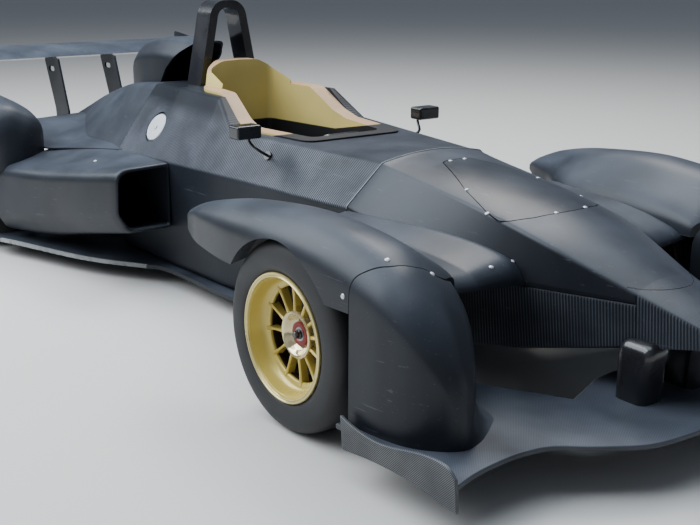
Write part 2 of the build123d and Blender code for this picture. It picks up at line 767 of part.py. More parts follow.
with BuildPart() as steering_wheel:
    with BuildSketch(column_axis) as grip_outline:
        RectangleRounded(2 * STEERING_HALF_WIDTH, STEERING_HEIGHT, STEERING_CORNER)
        RectangleRounded(
            2 * STEERING_HALF_WIDTH - 4 * STEERING_GRIP,
            STEERING_HEIGHT - 4 * STEERING_GRIP,
            STEERING_INNER_CORNER,
            mode=Mode.SUBTRACT,
        )
        Rectangle(*STEERING_PAD)
    extrude(amount=STEERING_GRIP, both=True)
    with BuildSketch(column_axis):
        Circle(COLUMN_RADIUS)
    extrude(amount=COLUMN_LENGTH)
save(steering_wheel, "steering_wheel")

with BuildPart() as dash:
    dash_row = between(TUB_SECTIONS, DASH_STATION)
    with BuildSketch(Plane.YZ.offset(x_at(DASH_STATION))):
        with BuildLine():
            Polyline(*tub_corners(dash_row, DECK_WALL), close=True)
        make_face()
        with Locations((0, DASH_BOTTOM_Z - dash_row[2] / 2)):
            Rectangle(2 * dash_row[3], dash_row[2], mode=Mode.SUBTRACT)
    extrude(amount=DASH_THICKNESS)
    add(tub.part, mode=Mode.SUBTRACT)
    with BuildSketch(column_axis):
        Circle(COLUMN_RADIUS + RUNNING_CLEARANCE)
    extrude(amount=COLUMN_LENGTH * 2, mode=Mode.SUBTRACT)
    add(cockpit_surround.part, mode=Mode.SUBTRACT)
save(dash, "dash")


# Roll hoop


def hoop_outline(station, inset=0.0):
    """The arch of the hoop, or the same drawn in by its band."""
    foot = HOOP_FOOT_HALF_WIDTH - inset
    crown = HOOP_CROWN_HALF_WIDTH - inset
    top_z = HOOP_TOP_Z - inset
    foot_z = HOOP_FOOT_Z - inset
    with BuildSketch(Plane.YZ.offset(x_at(station))) as outline:
        with BuildLine():
            Polyline((-foot, foot_z), (-crown, top_z), (crown, top_z), (foot, foot_z), close=True)
        make_face()
        fillet(outline.vertices().group_by(Axis.Y)[-1], HOOP_CROWN_ROLL - inset)
    return outline.sketch


with BuildPart() as roll_hoop:
    extrude(hoop_outline(HOOP_STATION - HOOP_CHORD / 2), amount=HOOP_CHORD)
    extrude(hoop_outline(HOOP_STATION - HOOP_CHORD, HOOP_BAND), amount=2 * HOOP_CHORD, mode=Mode.SUBTRACT)
    add(tub.part, mode=Mode.SUBTRACT)
    add(cockpit_surround.part, mode=Mode.SUBTRACT)
save(roll_hoop, "roll_hoop")


# Engine cover, air box, engine and gearbox


def cover_corners(row, inset=0.0):
    """The section of the engine cover, open below."""
    station, crest_half, crest_z, waist_half, waist_z, hem_half, hem_z = row
    return mirrored([
        (crest_half - inset, crest_z - inset),
        (waist_half - inset, waist_z),
        (hem_half - inset, hem_z - inset),
    ])


def airbox_corners(row, inset=0.0):
    """The section of the air box, an arch on the engine cover."""
    station, half_width, top_z, foot_z = row
    return mirrored([
        (AIRBOX_CROWN_SHARE * half_width, top_z - inset),
        (half_width - inset, top_z - AIRBOX_SHOULDER_SHARE * half_width),
        (half_width - inset, foot_z - inset),
    ])


with BuildPart() as cover_form:
    loft([across(row[0], cover_corners(row)) for row in COVER_SECTIONS], ruled=True)

with BuildPart() as engine_cover:
    add(cover_form.part)
    loft([across(row[0], cover_corners(row, SKIN)) for row in COVER_SECTIONS], ruled=True, mode=Mode.SUBTRACT)
save(engine_cover, "engine_cover")

with BuildPart() as airbox:
    loft([across(row[0], airbox_corners(row), AIRBOX_ROLL) for row in AIRBOX_SECTIONS], ruled=True)
    inner_rows = AIRBOX_SECTIONS[:-1]
    loft(
        [across(row[0], airbox_corners(row, AIRBOX_WALL), AIRBOX_ROLL - AIRBOX_WALL) for row in inner_rows],
        ruled=True,
        mode=Mode.SUBTRACT,
    )
    mouth_reach = 2 * AIRBOX_SECTIONS[0][1]
    extrude(along(-mouth_reach, AIRBOX_MOUTH), amount=-2 * mouth_reach, mode=Mode.SUBTRACT)
    add(cover_form.part, mode=Mode.SUBTRACT)
    add(tub.part, mode=Mode.SUBTRACT)
save(airbox, "airbox")

with BuildPart() as engine:
    engine_length = ENGINE_FRONT_STATION - ENGINE_REAR_STATION
    with Locations((x_at(ENGINE_REAR_STATION), 0, ENGINE_BOTTOM_Z)):
        Box(
            engine_length,
            2 * ENGINE_HALF_WIDTH,
            ENGINE_TOP_Z - ENGINE_BOTTOM_Z,
            align=(Align.MIN, Align.CENTER, Align.MIN),
        )
    chamfer(engine.edges().filter_by(Axis.X), ENGINE_HALF_WIDTH / 4)
save(engine, "engine")

with BuildPart() as gearbox:
    for station, (half, top_z) in (
        (ENGINE_REAR_STATION, GEARBOX_FRONT_HALF), (GEARBOX_REAR_STATION, GEARBOX_REAR_HALF)
    ):
        with BuildSketch(Plane.YZ.offset(x_at(station))) as gearbox_face:
            with Locations((0, (top_z + GEARBOX_BOTTOM_Z) / 2)):
                RectangleRounded(2 * half, top_z - GEARBOX_BOTTOM_Z, half / 4)
    loft(ruled=True)
    with BuildSketch(Plane.XZ.offset(-TOW_EYE_WIDTH / 2)):
        with Locations((x_at(GEARBOX_REAR_STATION) - TOW_EYE_RADIUS / 2, TOW_EYE_Z)):
            Circle(TOW_EYE_RADIUS)
    extrude(amount=TOW_EYE_WIDTH)
    with BuildSketch(Plane.XZ.offset(-TOW_EYE_WIDTH)):
        with Locations((x_at(GEARBOX_REAR_STATION) - TOW_EYE_RADIUS / 2, TOW_EYE_Z)):
            Circle(TOW_BORE_RADIUS)
    extrude(amount=2 * TOW_EYE_WIDTH, mode=Mode.SUBTRACT)
save(gearbox, "gearbox")


# Sidepods, floor and diffuser


def sidepod_corners(row, inset=0.0):
    """The left section of a sidepod, leaning in towards the floor."""
    station, outer_y, roof_z, shoulder_z, belly_z, foot_y = row
    return [
        (SIDEPOD_INNER_Y + inset, belly_z + inset),
        (SIDEPOD_INNER_Y + inset, roof_z - inset),
        (outer_y - SIDEPOD_SHOULDER_INSET - inset, shoulder_z + SIDEPOD_SHOULDER_RISE - inset),
        (outer_y - inset, shoulder_z - SIDEPOD_SIDE_DROP),
        (foot_y - inset, belly_z + inset),
    ]


with BuildPart() as sidepod_left:
    loft([across(row[0], sidepod_corners(row), SIDEPOD_EDGE_RADIUS) for row in SIDEPOD_SECTIONS], ruled=True)
    duct_end = SIDEPOD_SECTIONS[-1][0] + SIDEPOD_DUCT_TO_TAIL
    duct_rows = [row for row in SIDEPOD_SECTIONS if row[0] > duct_end]
    duct_rows.append(between(SIDEPOD_SECTIONS, duct_end))
    loft(
        [across(row[0], sidepod_corners(row, SIDEPOD_WALL), SIDEPOD_EDGE_RADIUS) for row in duct_rows],
        ruled=True,
        mode=Mode.SUBTRACT,
    )
    add(tub.part, mode=Mode.SUBTRACT)
    add(cover_form.part, mode=Mode.SUBTRACT)
    rear_tyre_space = wheel_well(REAR_AXLE_STATION, REAR_TYRE_RADIUS, REAR_WELL_PROFILE)
    add(rear_tyre_space, mode=Mode.SUBTRACT)
save_pair(sidepod_left, "sidepod")

with BuildPart() as floor:
    floor_corners = FLOOR_OUTLINE + [(station, -y) for station, y in reversed(FLOOR_OUTLINE)]
    extrude(from_above(FLOOR_TOP_Z - FLOOR_THICKNESS, floor_corners), amount=FLOOR_THICKNESS)
save(floor, "floor")

with BuildPart() as diffuser:
    diffuser_front = FLOOR_OUTLINE[-1][0]
    diffuser_outline = [
        (diffuser_front, FLOOR_TOP_Z), (DIFFUSER_REAR_STATION, FLOOR_TOP_Z + DIFFUSER_RISE),
        (DIFFUSER_REAR_STATION, FLOOR_TOP_Z + DIFFUSER_RISE - SKIN), (diffuser_front, FLOOR_TOP_Z - SKIN),
    ]
    extrude(along(-DIFFUSER_HALF_WIDTH, diffuser_outline), amount=-2 * DIFFUSER_HALF_WIDTH)
    strake_outline = [
        (diffuser_front, FLOOR_TOP_Z - SKIN), (DIFFUSER_REAR_STATION, FLOOR_TOP_Z + DIFFUSER_RISE - SKIN),
        (DIFFUSER_REAR_STATION, FLOOR_TOP_Z - SKIN),
    ]
    for strake_y in DIFFUSER_STRAKES:
        inner_y = strake_y - DIFFUSER_STRAKE_WIDTH / 2
        inner_y = min(max(inner_y, -DIFFUSER_HALF_WIDTH), DIFFUSER_HALF_WIDTH - DIFFUSER_STRAKE_WIDTH)
        extrude(along(inner_y, strake_outline), amount=-DIFFUSER_STRAKE_WIDTH)
    add(gearbox.part, mode=Mode.SUBTRACT)
save(diffuser, "diffuser")


# Rear fenders

with BuildPart() as rear_fender_left:
    loft([pontoon_section(row) for row in REAR_FENDER_SECTIONS], ruled=True)
    add(rear_tyre_space, mode=Mode.SUBTRACT)
    add(sidepod_left.part, mode=Mode.SUBTRACT)
save_pair(rear_fender_left, "rear_fender")


# Rear wing, end plates and pylons

wing_plane = Plane(
    origin=(x_at(WING_LEADING_STATION), -WING_SPAN / 2, WING_Z),
    x_dir=(-cos(radians(WING_INCIDENCE)), 0, sin(radians(WING_INCIDENCE))),
    z_dir=(0, 1, 0),
)

with BuildPart() as rear_wing:
    with BuildSketch(wing_plane):
        with BuildLine():
            bulge_x = WING_CHORD * WING_BULGE_AT
            wing_top = ThreePointArc((0, 0), (bulge_x, WING_THICKNESS * WING_TOP_BULGE), (WING_CHORD, 0))
            wing_edge = Line(wing_top @ 1, (WING_CHORD, -WING_TRAILING_EDGE))
            ThreePointArc(wing_edge @ 1, (bulge_x, -WING_THICKNESS * (1 - WING_TOP_BULGE)), (0, 0))
        make_face()
    extrude(amount=WING_SPAN)
save(rear_wing, "rear_wing")

with BuildPart() as wing_end_plates:
    plate_outline = [(station, WING_Z + rise) for station, rise in WING_END_PLATE_OUTLINE]
    extrude(along(WING_SPAN / 2, plate_outline, WING_END_PLATE_RADIUS), amount=-WING_END_PLATE)
    mirror(about=Plane.XZ)
save(wing_end_plates, "wing_end_plates")

with BuildPart() as wing_pylons:
    extrude(along(WING_PYLON_Y, WING_PYLON_OUTLINE, WING_PYLON_RADIUS), amount=-WING_PYLON_THICKNESS)
    with BuildSketch(Plane.XZ.offset(-WING_PYLON_Y + WING_PYLON_THICKNESS)):
        with Locations((x_at(WING_PYLON_SLOT[0]), WING_PYLON_SLOT[1])):
            SlotCenterToCenter(*WING_PYLON_SLOT_SIZE)
    extrude(amount=-3 * WING_PYLON_THICKNESS, mode=Mode.SUBTRACT)
    mirror(about=Plane.XZ)
    add(rear_wing.part, mode=Mode.SUBTRACT)
    add(cover_form.part, mode=Mode.SUBTRACT)
save(wing_pylons, "wing_pylons")


# Wheels, tyres, knuckles and uprights


def make_rim(axle_station, axle_z, centre_y, width):
    """A left wheel: barrel with flanges, spokes, hub, brake disc and centre nut."""
    axis = Axis((x_at(axle_station), 0, axle_z), (0, 1, 0))
    inner = centre_y - width / 2
    outer = centre_y + width / 2
    well_start = centre_y - RIM_WELL_WIDTH / 2
    well_end = centre_y + RIM_WELL_WIDTH / 2
    seat = RIM_SEAT_RADIUS
    flange = RIM_FLANGE_RADIUS
    deep = RIM_SEAT_RADIUS - RIM_WELL_DEPTH
    base_x = x_at(axle_station)
    hub_face = outer - HUB_INSET
    spoke_face = outer - SPOKE_TO_RIM_EDGE
    with BuildPart() as rim:
        with BuildSketch(Plane.XY.offset(axle_z)):
            with BuildLine():
                Polyline(
                    (base_x + seat - RIM_WALL, inner), (base_x + flange, inner),
                    (base_x + flange, inner + RIM_FLANGE_WIDTH), (base_x + seat, inner + RIM_FLANGE_WIDTH),
                    (base_x + seat, well_start - RIM_WELL_DEPTH), (base_x + deep, well_start),
                    (base_x + deep, well_end), (base_x + seat, well_end + RIM_WELL_DEPTH),
                    (base_x + seat, outer - RIM_FLANGE_WIDTH), (base_x + flange, outer - RIM_FLANGE_WIDTH),
                    (base_x + flange, outer), (base_x + seat - RIM_WALL, outer),
                    (base_x + seat - RIM_WALL, well_end + RIM_WELL_DEPTH + RIM_SLOPE_SHIFT),
                    (base_x + deep - RIM_WALL, well_end + RIM_SLOPE_SHIFT),
                    (base_x + deep - RIM_WALL, well_start - RIM_SLOPE_SHIFT),
                    (base_x + seat - RIM_WALL, well_start - RIM_WELL_DEPTH - RIM_SLOPE_SHIFT),
                    close=True,
                )
            make_face()
        revolve(axis=axis)
        with BuildSketch(Plane.XY.offset(axle_z)):
            with BuildLine():
                Polyline(
                    (base_x, hub_face - HUB_DEPTH), (base_x + DISC_RADIUS, hub_face - HUB_DEPTH),
                    (base_x + DISC_RADIUS, hub_face - HUB_DEPTH + DISC_THICKNESS),
                    (base_x + HUB_RADIUS, hub_face - HUB_DEPTH + DISC_THICKNESS),
                    (base_x + HUB_RADIUS, hub_face), (base_x, hub_face), close=True,
                )
            make_face()
        revolve(axis=axis)
        hub_centre = Plane(origin=(base_x, hub_face, axle_z), x_dir=(1, 0, 0), z_dir=(0, 1, 0))
        rise = spoke_face - hub_face
        reach = RIM_SEAT_RADIUS - RIM_WALL / 2
        for turn in range(SPOKE_COUNT):
            with BuildSketch(hub_centre.rotated((0, 0, 360 * turn / SPOKE_COUNT)).rotated((90, 0, 0))):
                with BuildLine():
                    Polyline(
                        (SPOKE_ROOT_RADIUS, 0), (reach, rise), (reach, rise - SPOKE_DEPTH),
                        (SPOKE_ROOT_RADIUS, -SPOKE_DEPTH), close=True,
                    )
                make_face()
            extrude(amount=SPOKE_WIDTH / 2, both=True)
        with BuildSketch(hub_centre):
            RegularPolygon(NUT_ACROSS_FLATS / 2, 6, major_radius=False)
        extrude(amount=NUT_DEPTH)
        with BuildSketch(hub_centre.offset(-HUB_DEPTH)):
            Circle(STUB_RADIUS + RUNNING_CLEARANCE)
        extrude(amount=HUB_DEPTH - STUB_END_WALL, mode=Mode.SUBTRACT)
    return rim


def make_tyre(axle_station, axle_z, centre_y, width, radius):
    """A left slick tyre on its two bead seats."""
    base_x = x_at(axle_station)
    half = width / 2
    bead = half - RIM_FLANGE_WIDTH - SEAT_GAP
    flange = RIM_FLANGE_RADIUS + TYRE_BEAD_STEP
    with BuildPart() as tyre:
        with BuildSketch(Plane.XY.offset(axle_z)) as profile:
            with BuildLine():
                Polyline(
                    (base_x + RIM_SEAT_RADIUS, centre_y - bead), (base_x + flange, centre_y - bead),
                    (base_x + flange + TYRE_SHOULDER, centre_y - half),
                    (base_x + radius - TYRE_SHOULDER, centre_y - half),
                    (base_x + radius, centre_y - half + TYRE_SHOULDER),
                    (base_x + radius, centre_y + half - TYRE_SHOULDER),
                    (base_x + radius - TYRE_SHOULDER, centre_y + half),
                    (base_x + flange + TYRE_SHOULDER, centre_y + half),
                    (base_x + flange, centre_y + bead), (base_x + RIM_SEAT_RADIUS, centre_y + bead),
                    close=True,
                )
            make_face()
        revolve(axis=Axis((base_x, 0, axle_z), (0, 1, 0)))
    return tyre


WHEELS = [
    # end, axle station, tyre radius, wheel centre, tyre width
    ("front", 0.0, FRONT_TYRE_RADIUS, FRONT_WHEEL_Y, FRONT_TYRE_WIDTH),
    ("rear", REAR_AXLE_STATION, REAR_TYRE_RADIUS, REAR_WHEEL_Y, REAR_TYRE_WIDTH),
]

for end, axle_station, tyre_radius, centre_y, tyre_width in WHEELS:
    save_pair(make_rim(axle_station, tyre_radius, centre_y, tyre_width), f"{end}_rim")
    save_pair(make_tyre(axle_station, tyre_radius, centre_y, tyre_width, tyre_radius), f"{end}_tyre")


def make_upright(axle_station, axle_z, plate_y, wheel_y, wheel_width, arm):
    """A left upright: plate, stub axle and, in front, its steering arm."""
    hub_inner = wheel_y + wheel_width / 2 - HUB_INSET - HUB_DEPTH
    base = (x_at(axle_station), plate_y, axle_z)
    with BuildPart() as upright:
        with Locations(base):
            Box(2 * KNUCKLE_HALF_LENGTH, 2 * KNUCKLE_HALF_THICKNESS, 2 * KNUCKLE_HALF_HEIGHT)
        chamfer(upright.edges().filter_by(Axis.Y), KNUCKLE_HALF_LENGTH / 2)
        with BuildSketch(Plane(origin=base, x_dir=(1, 0, 0), z_dir=(0, 1, 0))):
            Circle(STUB_ROOT_RADIUS)
        extrude(amount=hub_inner - plate_y - SEAT_GAP)
        with BuildSketch(Plane(origin=base, x_dir=(1, 0, 0), z_dir=(0, 1, 0))):
            Circle(STUB_RADIUS)
        extrude(amount=hub_inner - plate_y + HUB_DEPTH - STUB_END_WALL - SEAT_GAP)
        if arm:
            arm_x = x_at(axle_station) - STEER_ARM_REACH / 2
            with Locations((arm_x, plate_y - STEER_ARM_INSET, axle_z - STEER_ARM_DROP)):
                Box(STEER_ARM_REACH, STEER_ARM_SIZE, STEER_ARM_SIZE)
    return upright


knuckle = make_upright(0, FRONT_TYRE_RADIUS, KINGPIN_Y, FRONT_WHEEL_Y, FRONT_TYRE_WIDTH, True)
save_pair(knuckle, "knuckle")
rear_upright = make_upright(
    REAR_AXLE_STATION, REAR_TYRE_RADIUS, REAR_UPRIGHT_Y, REAR_WHEEL_Y, REAR_TYRE_WIDTH, False
)
save_pair(rear_upright, "rear_upright")


def wishbone(axle_station, outer_y, boss_z, anchors):
    """A left arm: its boss at the upright and one leg to each anchor, given as (station, y)."""
    with BuildPart() as arm:
        with Locations((x_at(axle_station), outer_y, boss_z)):
            Cylinder(BALL_BOSS_RADIUS, BALL_BOSS_HEIGHT)
        for station, y in anchors:
            add(rod((station, y, boss_z), (axle_station, outer_y, boss_z), WISHBONE_RADIUS))
    return arm.part


def tub_wall_y(station, z):
    """Where the middle of the tub's side wall is under the nose fairing."""
    _, top_half, top_z, floor_half, floor_z = between(TUB_NOSE_SECTIONS, station)
    return floor_half + (top_half - floor_half) * (z - floor_z) / (top_z - floor_z) - DECK_WALL / 2


boss_reach = KNUCKLE_HALF_HEIGHT + SEAT_GAP + BALL_BOSS_HEIGHT / 2
with BuildPart() as front_wishbones:
    for sign, legs in ((-1, FRONT_LOWER_LEGS), (1, FRONT_UPPER_LEGS)):
        boss_z = FRONT_TYRE_RADIUS + sign * boss_reach
        anchors = [(station, tub_wall_y(station, boss_z)) for station in legs]
        add(wishbone(0, KINGPIN_Y, boss_z, anchors))
    add(tub.part, mode=Mode.SUBTRACT)
    mirror(about=Plane.XZ)
save(front_wishbones, "front_wishbones")

with BuildPart() as rear_wishbones:
    anchors = [(station, REAR_WISHBONE_INNER_Y) for station in REAR_LEGS]
    for sign in (-1, 1):
        add(wishbone(REAR_AXLE_STATION, REAR_UPRIGHT_Y, REAR_TYRE_RADIUS + sign * boss_reach, anchors))
    add(gearbox.part, mode=Mode.SUBTRACT)
    add(cover_form.part, mode=Mode.SUBTRACT)
    mirror(about=Plane.XZ)
save(rear_wishbones, "rear_wishbones")


# Mirrors

with BuildPart() as mirrors:
    with Locations((x_at(MIRROR_STATION), MIRROR_Y, MIRROR_Z)):
        Box(*MIRROR_SIZE)
    fillet(mirrors.edges(), MIRROR_EDGE_RADIUS)
    with BuildLine() as stalk_line:
        Spline(*[(x_at(station), y, z) for station, y, z in MIRROR_STALK])
    with BuildSketch(Plane(origin=stalk_line.line @ 0, z_dir=stalk_line.line % 0)):
        Circle(MIRROR_STALK_RADIUS)
    sweep(path=stalk_line.line)
    last, foot = MIRROR_STALK[-2:]
    foot_outside = [b + (a - b) / 2 for a, b in zip(last, foot)]
    add(rod(foot_outside, foot, MIRROR_FOOT_RADIUS))
    add(tub.part, mode=Mode.SUBTRACT)
    mirror(about=Plane.XZ)
save(mirrors, "mirrors")
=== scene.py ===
# %% [markdown]
# A hill-climb racing car in bare carbon fibre
#
# The real car has a narrow carbon body, a raised nose over a flat splitter, fenders over its slick tyres and
# brass-coloured wheels. The CAD model fixes every size and place. This script gives the car its looks: it
# loads the CAD pieces as a frame, makes the finishes, builds finer pieces where the CAD ones are plain, and
# sets a camera where the photographer stood. X points to the nose, Y to the driver's left and Z up, in
# metres.

# %% Load the car
import json
import math

import bmesh
import bpy
from mathutils import Matrix, Vector


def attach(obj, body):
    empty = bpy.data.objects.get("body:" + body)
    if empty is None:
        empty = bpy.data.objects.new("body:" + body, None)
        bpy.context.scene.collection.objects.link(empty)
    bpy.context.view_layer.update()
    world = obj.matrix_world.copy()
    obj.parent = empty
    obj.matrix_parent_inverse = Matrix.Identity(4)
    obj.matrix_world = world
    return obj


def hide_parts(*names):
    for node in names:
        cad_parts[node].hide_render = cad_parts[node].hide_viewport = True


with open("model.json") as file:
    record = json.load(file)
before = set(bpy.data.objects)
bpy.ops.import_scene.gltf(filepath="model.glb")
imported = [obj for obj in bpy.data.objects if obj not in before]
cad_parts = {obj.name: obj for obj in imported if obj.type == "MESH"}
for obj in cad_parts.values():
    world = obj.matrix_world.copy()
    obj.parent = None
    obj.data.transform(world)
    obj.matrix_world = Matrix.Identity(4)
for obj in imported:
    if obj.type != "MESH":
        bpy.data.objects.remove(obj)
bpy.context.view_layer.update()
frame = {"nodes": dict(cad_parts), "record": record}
car = frame["nodes"]
print("pieces of the car:", len(car))

# %% [markdown]
# Stations along the car
#
# A car's drawings measure along the car from the front axle. The same is done here, so a number in this
# script can be held against a number in the drawing: a station is positive ahead of the front axle. All
# tables are in millimetres, as on a drawing, and one function turns them into Blender's metres.

# %% Stations
FRONT_AXLE_X = 1.2
REAR_AXLE_STATION = -2560.0
FRONT_TYRE_RADIUS = 272.0
REAR_TYRE_RADIUS = 285.0


def at_station(station, y, z):
    """A point from its distance ahead of the front axle, all in millimetres."""
    return Vector((FRONT_AXLE_X + station / 1000, y / 1000, z / 1000))


print("rear axle at x =", at_station(REAR_AXLE_STATION, 0, 0).x)

# %% [markdown]
# How the finishes are built
#
# A finish could be a picture wrapped around the piece, but then each piece has to be unwrapped first. Here
# each finish is a small network of nodes instead: colour, roughness and bump are worked out from the place on
# the surface, so it fits any shape. Three helpers keep the networks short. One starts a finish, one adds a
# node and one joins two of them.

# %% Start a finish and add nodes
def start_finish(name, color, roughness, metallic=0.0):
    """A new material with its main shader set to plain values."""
    material = bpy.data.materials.new(name)
    material.use_nodes = True
    shader = material.node_tree.nodes["Principled BSDF"]
    shader.inputs["Base Color"].default_value = (*color, 1.0)
    shader.inputs["Roughness"].default_value = roughness
    shader.inputs["Metallic"].default_value = metallic
    return material, shader


def add_node(material, kind, **settings):
    """One more node in a finish; settings name its properties or its inputs."""
    node = material.node_tree.nodes.new(kind)
    for key, value in settings.items():
        if hasattr(node, key):
            setattr(node, key, value)
        else:
            node.inputs[key.replace("_", " ")].default_value = value
    return node


def link(material, output, target):
    """Joins an output to an input."""
    material.node_tree.links.new(output, target)


print("a finish can be started")

# %% [markdown]
# Masks
#
# A mask is a value from 0 to 1 that says where something shows, such as dust. It could be painted by hand,
# but a mask that is worked out stays right when the shape changes. Most of them come from noise, which is
# cloudy by nature, or from the way the surface faces, because dust lies only on what faces up. The painted
# sky sheen and the ribs' painted highlight follow the way a surface faces too.

# %% Masks from the place and the way a surface faces
def place_on_car(material, stretch=(1.0, 1.0, 1.0)):
    """Coordinates fixed to the piece, stretched along its axes."""
    coordinates = add_node(material, "ShaderNodeTexCoord")
    mapping = add_node(material, "ShaderNodeMapping")
    mapping.inputs["Scale"].default_value = stretch
    link(material, coordinates.outputs["Object"], mapping.inputs["Vector"])
    return mapping.outputs["Vector"]


def rescale(material, value, low, high, start=0.0, end=1.0):
    """Maps a value that runs from low to high onto start to end, and holds it at both ends."""
    node = add_node(material, "ShaderNodeMapRange", From_Min=low, From_Max=high, To_Min=start, To_Max=end)
    link(material, value, node.inputs["Value"])
    return node.outputs["Result"]


def along_axis(material, vector, axis):
    """One of the three numbers of a vector."""
    parts = add_node(material, "ShaderNodeSeparateXYZ")
    link(material, vector, parts.inputs["Vector"])
    return parts.outputs[axis]


def noise_mask(material, place, scale, low, high, detail=4.0):
    """Noise turned into a mask that is 0 below low and 1 above high."""
    noise = add_node(material, "ShaderNodeTexNoise", Scale=scale, Detail=detail)
    link(material, place, noise.inputs["Vector"])
    return rescale(material, noise.outputs["Fac"], low, high)


def facing_mask(material, low, high):
    """A mask that rises as the surface turns from low to high, where 0 is upright and 1 faces up."""
    geometry = add_node(material, "ShaderNodeNewGeometry")
    return rescale(material, along_axis(material, geometry.outputs["Normal"], "Z"), low, high)


print("masks can be made")

# %% [markdown]
# Mixing
#
# Real surfaces change gradually: dust thins out and a scratch fades. So a finish goes from one colour to the
# next where a mask rises. One large node group could hold it all, but small functions can be read one at a
# time. A bump tilts the light as if a height stood on the surface, without any new faces.

# %% Mixing masks and colours
def multiply(material, first, second):
    """The product of two masks, or of a mask and a number."""
    node = add_node(material, "ShaderNodeMath", operation="MULTIPLY")
    link(material, first, node.inputs[0])
    if isinstance(second, float):
        node.inputs[1].default_value = second
    else:
        link(material, second, node.inputs[1])
    return node.outputs["Value"]


def blend_values(material, mask, first, second):
    """Goes from the first value to the second where the mask rises."""
    mix = add_node(material, "ShaderNodeMix", data_type="FLOAT")
    for socket, value in zip((mix.inputs[0], mix.inputs[2], mix.inputs[3]), (mask, first, second)):
        link(material, value, socket)
    return mix.outputs[0]


def blend_colors(material, mask, first, second):
    """Goes from the first colour to the second where the mask rises."""
    mix = add_node(material, "ShaderNodeMix", data_type="RGBA")
    link(material, mask, mix.inputs["Factor"])
    for socket, color in ((mix.inputs[6], first), (mix.inputs[7], second)):
        if isinstance(color, tuple):
            socket.default_value = (*color, 1.0)
        else:
            link(material, color, socket)
    return mix.outputs[2]


def roughen(material, shader, mask, low, high):
    """Lets the roughness wander between two values."""
    link(material, rescale(material, mask, 0.0, 1.0, low, high), shader.inputs["Roughness"])


def add_bump(material, shader, height, strength, distance):
    """Tilts the light on the surface as if a height stood on it."""
    bump = add_node(material, "ShaderNodeBump", Strength=strength, Distance=distance)
    link(material, height, bump.inputs["Height"])
    link(material, bump.outputs["Normal"], shader.inputs["Normal"])


print("masks and colours can be mixed")

# %% [markdown]
# The ribs of the cloth
#
# The body is unpainted carbon cloth in resin. From a few steps away its fine ribs show where a panel catches
# the light. Real bumps that fine would take millions of faces, so a wave texture draws them, one band for
# each rib, and their crests are painted lighter as a painted highlight. On the tub the ribs run across the
# leaning sides and the nose, and slanting over the flat top, and they fade out towards the cockpit's rim;
# there the painted highlight shows only where a panel leans, and on the nose where it stands upright.

# %% Ribs
BAND_AT_SCALE_ONE = {"X": 0.314, "DIAGONAL": 0.888}
RIB_WAVER = 0.25
RIB_CREST = (0.35, 0.95)
NOSE_CLOTH_FROM, NOSE_CLOTH_TO = 1.25, 1.35
RIM_CLOTH_FULL_Z, RIM_CLOTH_GONE_Z = 0.655, 0.70
NOSE_RIB_STRENGTH = 0.45
# How the surface faces, from 0 for upright to 1 for level
FLAT_TOP = (0.85, 0.95)
OFF_UPRIGHT, OFF_LEVEL = (0.05, 0.45), (1.4, 0.8)
UPRIGHT = (0.5, 0.2)
# A noise is told by its scale, low, high and detail
UNEVEN_RIBS = (9.0, 0.1, 0.7, 5.0)


def cloth_bands(material, place, direction, rib_size):
    """Waves across the surface, one for each rib of the cloth."""
    bands = add_node(
        material, "ShaderNodeTexWave", wave_type="BANDS", bands_direction=direction,
        Scale=BAND_AT_SCALE_ONE[direction] / rib_size, Distortion=RIB_WAVER,
    )
    link(material, place, bands.inputs["Vector"])
    return bands.outputs["Fac"]


def tub_cloth(material, place, rib_size):
    """The waves of the tub's cloth, and the mask of where their painted highlight shows."""
    across = cloth_bands(material, place, "X", rib_size)
    slanting = cloth_bands(material, place, "DIAGONAL", rib_size)
    waves = blend_values(material, facing_mask(material, *FLAT_TOP), across, slanting)
    # Painted highlight: the crests show only where a panel leans, as if it caught the light.
    leaning = multiply(material, facing_mask(material, *OFF_UPRIGHT), facing_mask(material, *OFF_LEVEL))
    turned_height = along_axis(material, place, "Z")
    below_rim = rescale(material, turned_height, -RIM_CLOTH_GONE_Z, -RIM_CLOTH_FULL_Z)
    upright = multiply(material, facing_mask(material, *UPRIGHT), NOSE_RIB_STRENGTH)
    forward = rescale(material, along_axis(material, place, "X"), NOSE_CLOTH_FROM, NOSE_CLOTH_TO)
    return waves, blend_values(material, forward, multiply(material, leaning, below_rim), upright)


def cloth_color(material, place, color, ribs, rib_size, rib_strength, rib_highlight):
    """The colour with the ribs' crests painted lit as a highlight, and the waves themselves for the bump."""
    if ribs == "TUB":
        waves, shown = tub_cloth(material, place, rib_size)
    else:
        waves, shown = cloth_bands(material, place, ribs, rib_size), None
    uneven = noise_mask(material, place, *UNEVEN_RIBS)
    crest = rescale(material, waves, *RIB_CREST)
    # The lit crests are a painted highlight in the colour.
    lit = multiply(material, multiply(material, crest, uneven), rib_strength)
    if shown:
        lit = multiply(material, lit, shown)
    return blend_colors(material, lit, color, rib_highlight), waves


print("rib directions:", list(BAND_AT_SCALE_ONE))

# %% [markdown]
# Bare carbon
#
# The cloth's resin is rubbed dull, scratched and dusty. Dust is noise that shows only on what faces up, and
# its bluish colour is partly a painted reflection of the sky on those faces. Long thin noise makes the
# scratches, and small cells make pale specks. Each panel could have its own network, but one function makes
# them all, because they differ only in how their cloth lies, how worn they are and how much dust and painted
# sheen they carry.

# %% Colours of bare carbon
CARBON_DARK = (0.010, 0.012, 0.016)
CARBON_LIGHT = (0.026, 0.030, 0.040)
# Crest colours of the ribs and the twill: painted highlights.
RIB_HIGHLIGHT = (0.17, 0.185, 0.22)
TWILL_HIGHLIGHT = (0.24, 0.24, 0.235)
